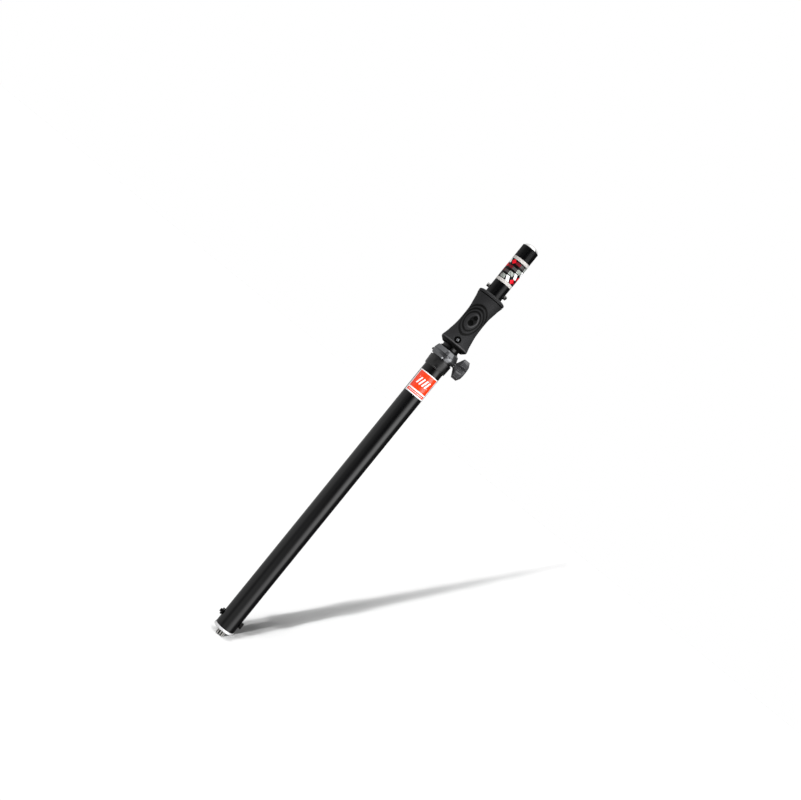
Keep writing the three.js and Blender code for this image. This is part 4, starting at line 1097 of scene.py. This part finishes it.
# Upper bolt. A plated M5 screw across the tube over the grip, which carries the spring's top eye:
# its round head at -X, a nut and a turn of thread at +X, and a washer under each.
CROSS_BOLT_HEIGHT = 893
WASHER_SEAT, WASHER_FACE, WASHER_TOP = 19.12, 20.15, 20.2
WASHER_RADIUS, WASHER_BORE = 5, 2.65
HEAD_RADIUS, HEAD_END = 4.25, 25.3
SOCKET_RADIUS, SOCKET_MOUTH, SOCKET_DEPTH = 1.7, 1.9, 1.5
STEM_RADIUS, STEM_PITCH, STEM_DEPTH = 2.5, 0.8, 0.45
STEM_NUT_FLATS, STEM_NUT_TOP, STEM_END = 8, 24.3, 25.4
STEM_NECK, STEM_POINT = 0.5, 0.6
STEM_PLAY, STEM_FLARE = 0.1, 0.7  # room round the thread in the nut, and in its mouth
FLARE_START, FLARE_END = 0.4, 0.3  # under and over the nut's top

# Zinc plate gone grey with age: a dull metal, dark on its underside.
aged_zinc, tree, shader = surfaced("aged zinc plate", "#8d8c8a", 0.3, Metallic=1)
uneven(tree, shader, 0.22, 0.4, 3)

at_cross = Matrix.Translation((0, 0, CROSS_BOLT_HEIGHT)) @ ALONG_X
core = STEM_RADIUS - STEM_DEPTH
upper_bolt = lathed("upper_bolt_plated", [
    (0, -HEAD_END + SOCKET_DEPTH, 0), (SOCKET_RADIUS, -HEAD_END + SOCKET_DEPTH, 0),
    (SOCKET_MOUTH, -HEAD_END, 0.15), (HEAD_RADIUS, -HEAD_END, 0.7),
    (HEAD_RADIUS, -WASHER_TOP, 0.3), (STEM_RADIUS, -WASHER_TOP, 0), (STEM_RADIUS, WASHER_TOP, 0),
    (core, WASHER_TOP + STEM_NECK, 0), (core, STEM_NUT_TOP, 0), (0, STEM_NUT_TOP, 0),
], aged_zinc, at_cross, sides=64)
tip = grown("stem_tip", thread_tree, {
    "Radius": STEM_RADIUS, "Depth": STEM_DEPTH, "Pitch": STEM_PITCH,
    "Foot": STEM_NUT_TOP - TIP_ROOT, "Top": STEM_END, "Point": STEM_POINT, "Flutes": 0,
    "Flute Depth": 0, "Rings": 44, "Sides": 72, "Material": aged_zinc,
}, Matrix.Translation((0, 0, CROSS_BOLT_HEIGHT * MM)) @ ALONG_X)
carved(upper_bolt, tip, operation="UNION")
fitted(upper_bolt, "mast", "bright_chrome", "upper_bolt")

nut = hexagon(STEM_NUT_FLATS, WASHER_TOP, STEM_NUT_TOP)
upper_nut = skinned("upper_nut_plated", nut, aged_zinc, at_cross)
bore = skinned("nut_bore", turned([
    (0, WASHER_TOP - OVERLAP), (STEM_RADIUS + STEM_PLAY, WASHER_TOP - OVERLAP),
    (STEM_RADIUS + STEM_PLAY, STEM_NUT_TOP - FLARE_START),
    (STEM_RADIUS + STEM_FLARE, STEM_NUT_TOP + FLARE_END), (0, STEM_NUT_TOP + FLARE_END),
], sides=48), aged_zinc, at_cross)
carved(upper_nut, bore)
fitted(upper_nut, "mast", "bright_chrome", "upper_bolt_nut")

washer = lathed("washer", [
    (WASHER_RADIUS, WASHER_SEAT, 0.2), (WASHER_RADIUS, WASHER_FACE, 0.35),
    (WASHER_BORE, WASHER_FACE, 0.1), (WASHER_BORE, WASHER_SEAT, 0.1),
], aged_zinc, at_cross, sides=56)
washers = copied_round("upper_washers_plated", washer, 2, aged_zinc)
fitted(washers, "mast", "bright_chrome", "upper_washer_left", "upper_washer_right")


# Upper sticker. Printed vinyl all round the tube: a plain geometric print of red, white and grey
# blocks on black, between two bands of pale zigzag.
WRAP_BORE, WRAP_THICK = 19.06, 0.16
WRAP_FOOT, WRAP_HEIGHT = 913, 61.6
WRAP_STEPS = 120
FOOT_BAND, TOP_BAND = 7, 54.6  # where the pale bands end and start, over the sticker's foot
CELLS_ROUND, CELLS_UP = 10, 4
COLUMN_STEP, ROW_STEP, MOTIFS = 2, 3, 5  # what a column and a row add to the number of a motif
SLAB_HALF, BRICK_HALF, HATCH_HALF, DIAMOND_HALF = (3.9, 5.7), (6.4, 3), (6.6, 4.3), 6
SLAB_TILT = 0.45
HATCH_PITCH, HATCH_LINE = 4, 1.1
ZIGZAG_PITCH, ZIGZAG_LINE = 7.5, 4
ZIGZAG_EDGE = (0.3, 0.75)

# The same laminated vinyl: the inks are flat and the gloss lies over all of them.
printed_vinyl, tree, shader = surfaced(
    "patterned printed vinyl", "#161415", 0.3, Specular_IOR_Level=0.3
)
grained(tree, shader, 9, 0.02, detail=0)
across, up = laid_out(tree)
cell_width = 2 * math.pi * (WRAP_BORE + WRAP_THICK) / CELLS_ROUND
cell_height = (TOP_BAND - FOOT_BAND) / CELLS_UP
columns = {0: across, 1: 1 / cell_width, 2: 0.5}
columns = add(tree, "ShaderNodeMath", columns, operation="MULTIPLY_ADD")
rows = {0: up, 1: 1 / cell_height, 2: -FOOT_BAND / cell_height}
rows = add(tree, "ShaderNodeMath", rows, operation="MULTIPLY_ADD")
places = []
for line, size in ((columns, cell_width), (rows, cell_height)):
    number = add(tree, "ShaderNodeMath", {0: line}, operation="FLOOR")
    inside = add(tree, "ShaderNodeMath", {0: line, 1: number}, operation="SUBTRACT")
    inside = {0: inside, 3: -size / 2, 4: size / 2}
    places.append((number, add(tree, "ShaderNodeMapRange", inside)))
(column, x), (row, y) = places
row = add(tree, "ShaderNodeMath", {0: row, 1: ROW_STEP}, operation="MULTIPLY")
kind = add(tree, "ShaderNodeMath", {0: column, 1: COLUMN_STEP, 2: row}, operation="MULTIPLY_ADD")
kind = add(tree, "ShaderNodeMath", {0: kind, 1: MOTIFS}, operation="FLOORED_MODULO")
lean = add(tree, "ShaderNodeMath", {0: x, 1: y}, operation="ADD")
tilt = add(tree, "ShaderNodeMath", {0: y, 1: SLAB_TILT, 2: x}, operation="MULTIPLY_ADD")
x_size = add(tree, "ShaderNodeMath", {0: x}, operation="ABSOLUTE")
y_size = add(tree, "ShaderNodeMath", {0: y}, operation="ABSOLUTE")
diamond = add(tree, "ShaderNodeMath", {0: x_size, 1: y_size}, operation="ADD")
diamond = add(tree, "ShaderNodeMath", {0: diamond, 1: DIAMOND_HALF}, operation="LESS_THAN")
bars = add(tree, "ShaderNodeMath", {0: lean, 1: HATCH_PITCH / 2}, operation="PINGPONG")
bars = add(tree, "ShaderNodeMath", {0: bars, 1: HATCH_LINE}, operation="LESS_THAN")
hatched = block(tree, x, y, (0, 0), HATCH_HALF)
hatched = add(tree, "ShaderNodeMath", {0: hatched, 1: bars}, operation="MULTIPLY")
slab = block(tree, tilt, y, (0, 0), SLAB_HALF)
brick = block(tree, x, y, (0, 0), BRICK_HALF)
print_colour = linear("#050304")
for place, (motif, colour) in enumerate((
    (slab, "#ffffff"), (brick, "#4a4646"), (diamond, "#e80a22"), (hatched, "#c9d0c9"),
    (brick, "#6d121d"),
)):
    chosen = add(tree, "ShaderNodeMath", {0: kind, 1: place, 2: 0.5}, operation="COMPARE")
    chosen = add(tree, "ShaderNodeMath", {0: chosen, 1: motif}, operation="MULTIPLY")
    mixed = {"Factor": chosen, 6: print_colour, 7: linear(colour)}
    print_colour = add(tree, "ShaderNodeMix", mixed, out=2, data_type="RGBA")
zigzag = add(tree, "ShaderNodeMath", {0: across, 1: ZIGZAG_PITCH / 2}, operation="PINGPONG")
zigzag = add(tree, "ShaderNodeMath", {0: zigzag, 1: up}, operation="ADD")
zigzag = add(tree, "ShaderNodeMath", {0: zigzag, 1: ZIGZAG_LINE / 2}, operation="PINGPONG")
zigzag = {0: zigzag, 1: ZIGZAG_EDGE[0], 2: ZIGZAG_EDGE[1]}
zigzag = add(tree, "ShaderNodeMapRange", zigzag)
pale = {"Factor": zigzag, 6: linear("#918d8b"), 7: linear("#d3cfcb")}
pale = add(tree, "ShaderNodeMix", pale, out=2, data_type="RGBA")
middle = (TOP_BAND + FOOT_BAND) / 2
inner = {0: up, 1: middle, 2: (TOP_BAND - FOOT_BAND) / 2}
inner = add(tree, "ShaderNodeMath", inner, operation="COMPARE")
printed = {"Factor": inner, 6: pale, 7: print_colour}
printed = add(tree, "ShaderNodeMix", printed, out=2, data_type="RGBA")
tree.links.new(printed, shader.inputs["Base Color"])

upper_sticker = skinned("upper_sticker", turned([
    (WRAP_BORE + WRAP_THICK, WRAP_FOOT), (WRAP_BORE + WRAP_THICK, WRAP_FOOT + WRAP_HEIGHT),
    (WRAP_BORE, WRAP_FOOT + WRAP_HEIGHT), (WRAP_BORE, WRAP_FOOT),
], WRAP_STEPS), printed_vinyl, loop=True)
wrapped_uv(upper_sticker, WRAP_BORE + WRAP_THICK, WRAP_FOOT)
fitted(upper_sticker, "mast", "printed_vinyl", "upper_label")


# End cap. Pressed steel, polished and nickel plated, knocked into the top of the tube, with a low
# dome and a narrow shoulder round it.
CAP_RADIUS, CAP_FOOT, CAP_EDGE = 17.2, 984, 0.5
CAP_SHOULDER, CAP_CREST, CAP_TOP = 1003.6, (2.6, 1012.04), 1012.1
CAP_DOME = [(16.7, 1004.2), (16.3, 1005.5), (15.2, 1007.3), (13, 1009.2), (9.6, 1010.8),
            (5, 1011.8)]
DOME_STEPS = 24

# Polished nickel plate: nearly white under the ceiling, with the dark room drawn in its shoulder.
polish, tree, shader = surfaced("polished nickel plate", "#f6f5f3", 0.16, Metallic=1)
uneven(tree, shader, 0.12, 0.22, 5)

shell = turned([
    (0, CAP_FOOT), (CAP_RADIUS - CAP_EDGE, CAP_FOOT), (CAP_RADIUS, CAP_FOOT + CAP_EDGE),
    (CAP_RADIUS, CAP_SHOULDER), *curve_through(CAP_DOME, DOME_STEPS), CAP_CREST, (0, CAP_TOP),
])
end_cap = skinned("end_cap_polished", shell, polish)
fitted(end_cap, "mast", "bright_chrome", "end_cap")


# Works inside the pole. The gas spring, its eyes and extension, the glide, the clamp pad, insert
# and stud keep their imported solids, each in its own finish.

# Drawn and turned steel: even grey metal, its tool marks drawn at 1 mm so that they show.
plain_steel, tree, shader = surfaced("turned steel", "#9b9da0", 0.34, Metallic=1)
uneven(tree, shader, 0.26, 0.44, 1, TOOL_MARKS)

# Hard chrome on a ground rod: a mirror with hardly a mark.
hard_chrome, tree, shader = surfaced("hard chrome", "#e3e5e8", 0.07, Metallic=1)
uneven(tree, shader, 0.05, 0.1, 4)

for finish, names in (
    (plain_steel, ("rod_foot_eye", "rod_extension", "spring_piston", "clamp_insert", "knob_stud",
                   "spring_top_eye", "rod_guide")),
    (hard_chrome, ("spring_rod",)),
    (powder_coat, ("spring_cylinder",)),
    (black_nylon, ("mast_glide", "rod_seal")),
    (grey_nylon, ("clamp_pad",)),
):
    for name in names:
        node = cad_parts[name]
        node.data.materials.clear()
        node.data.materials.append(finish)
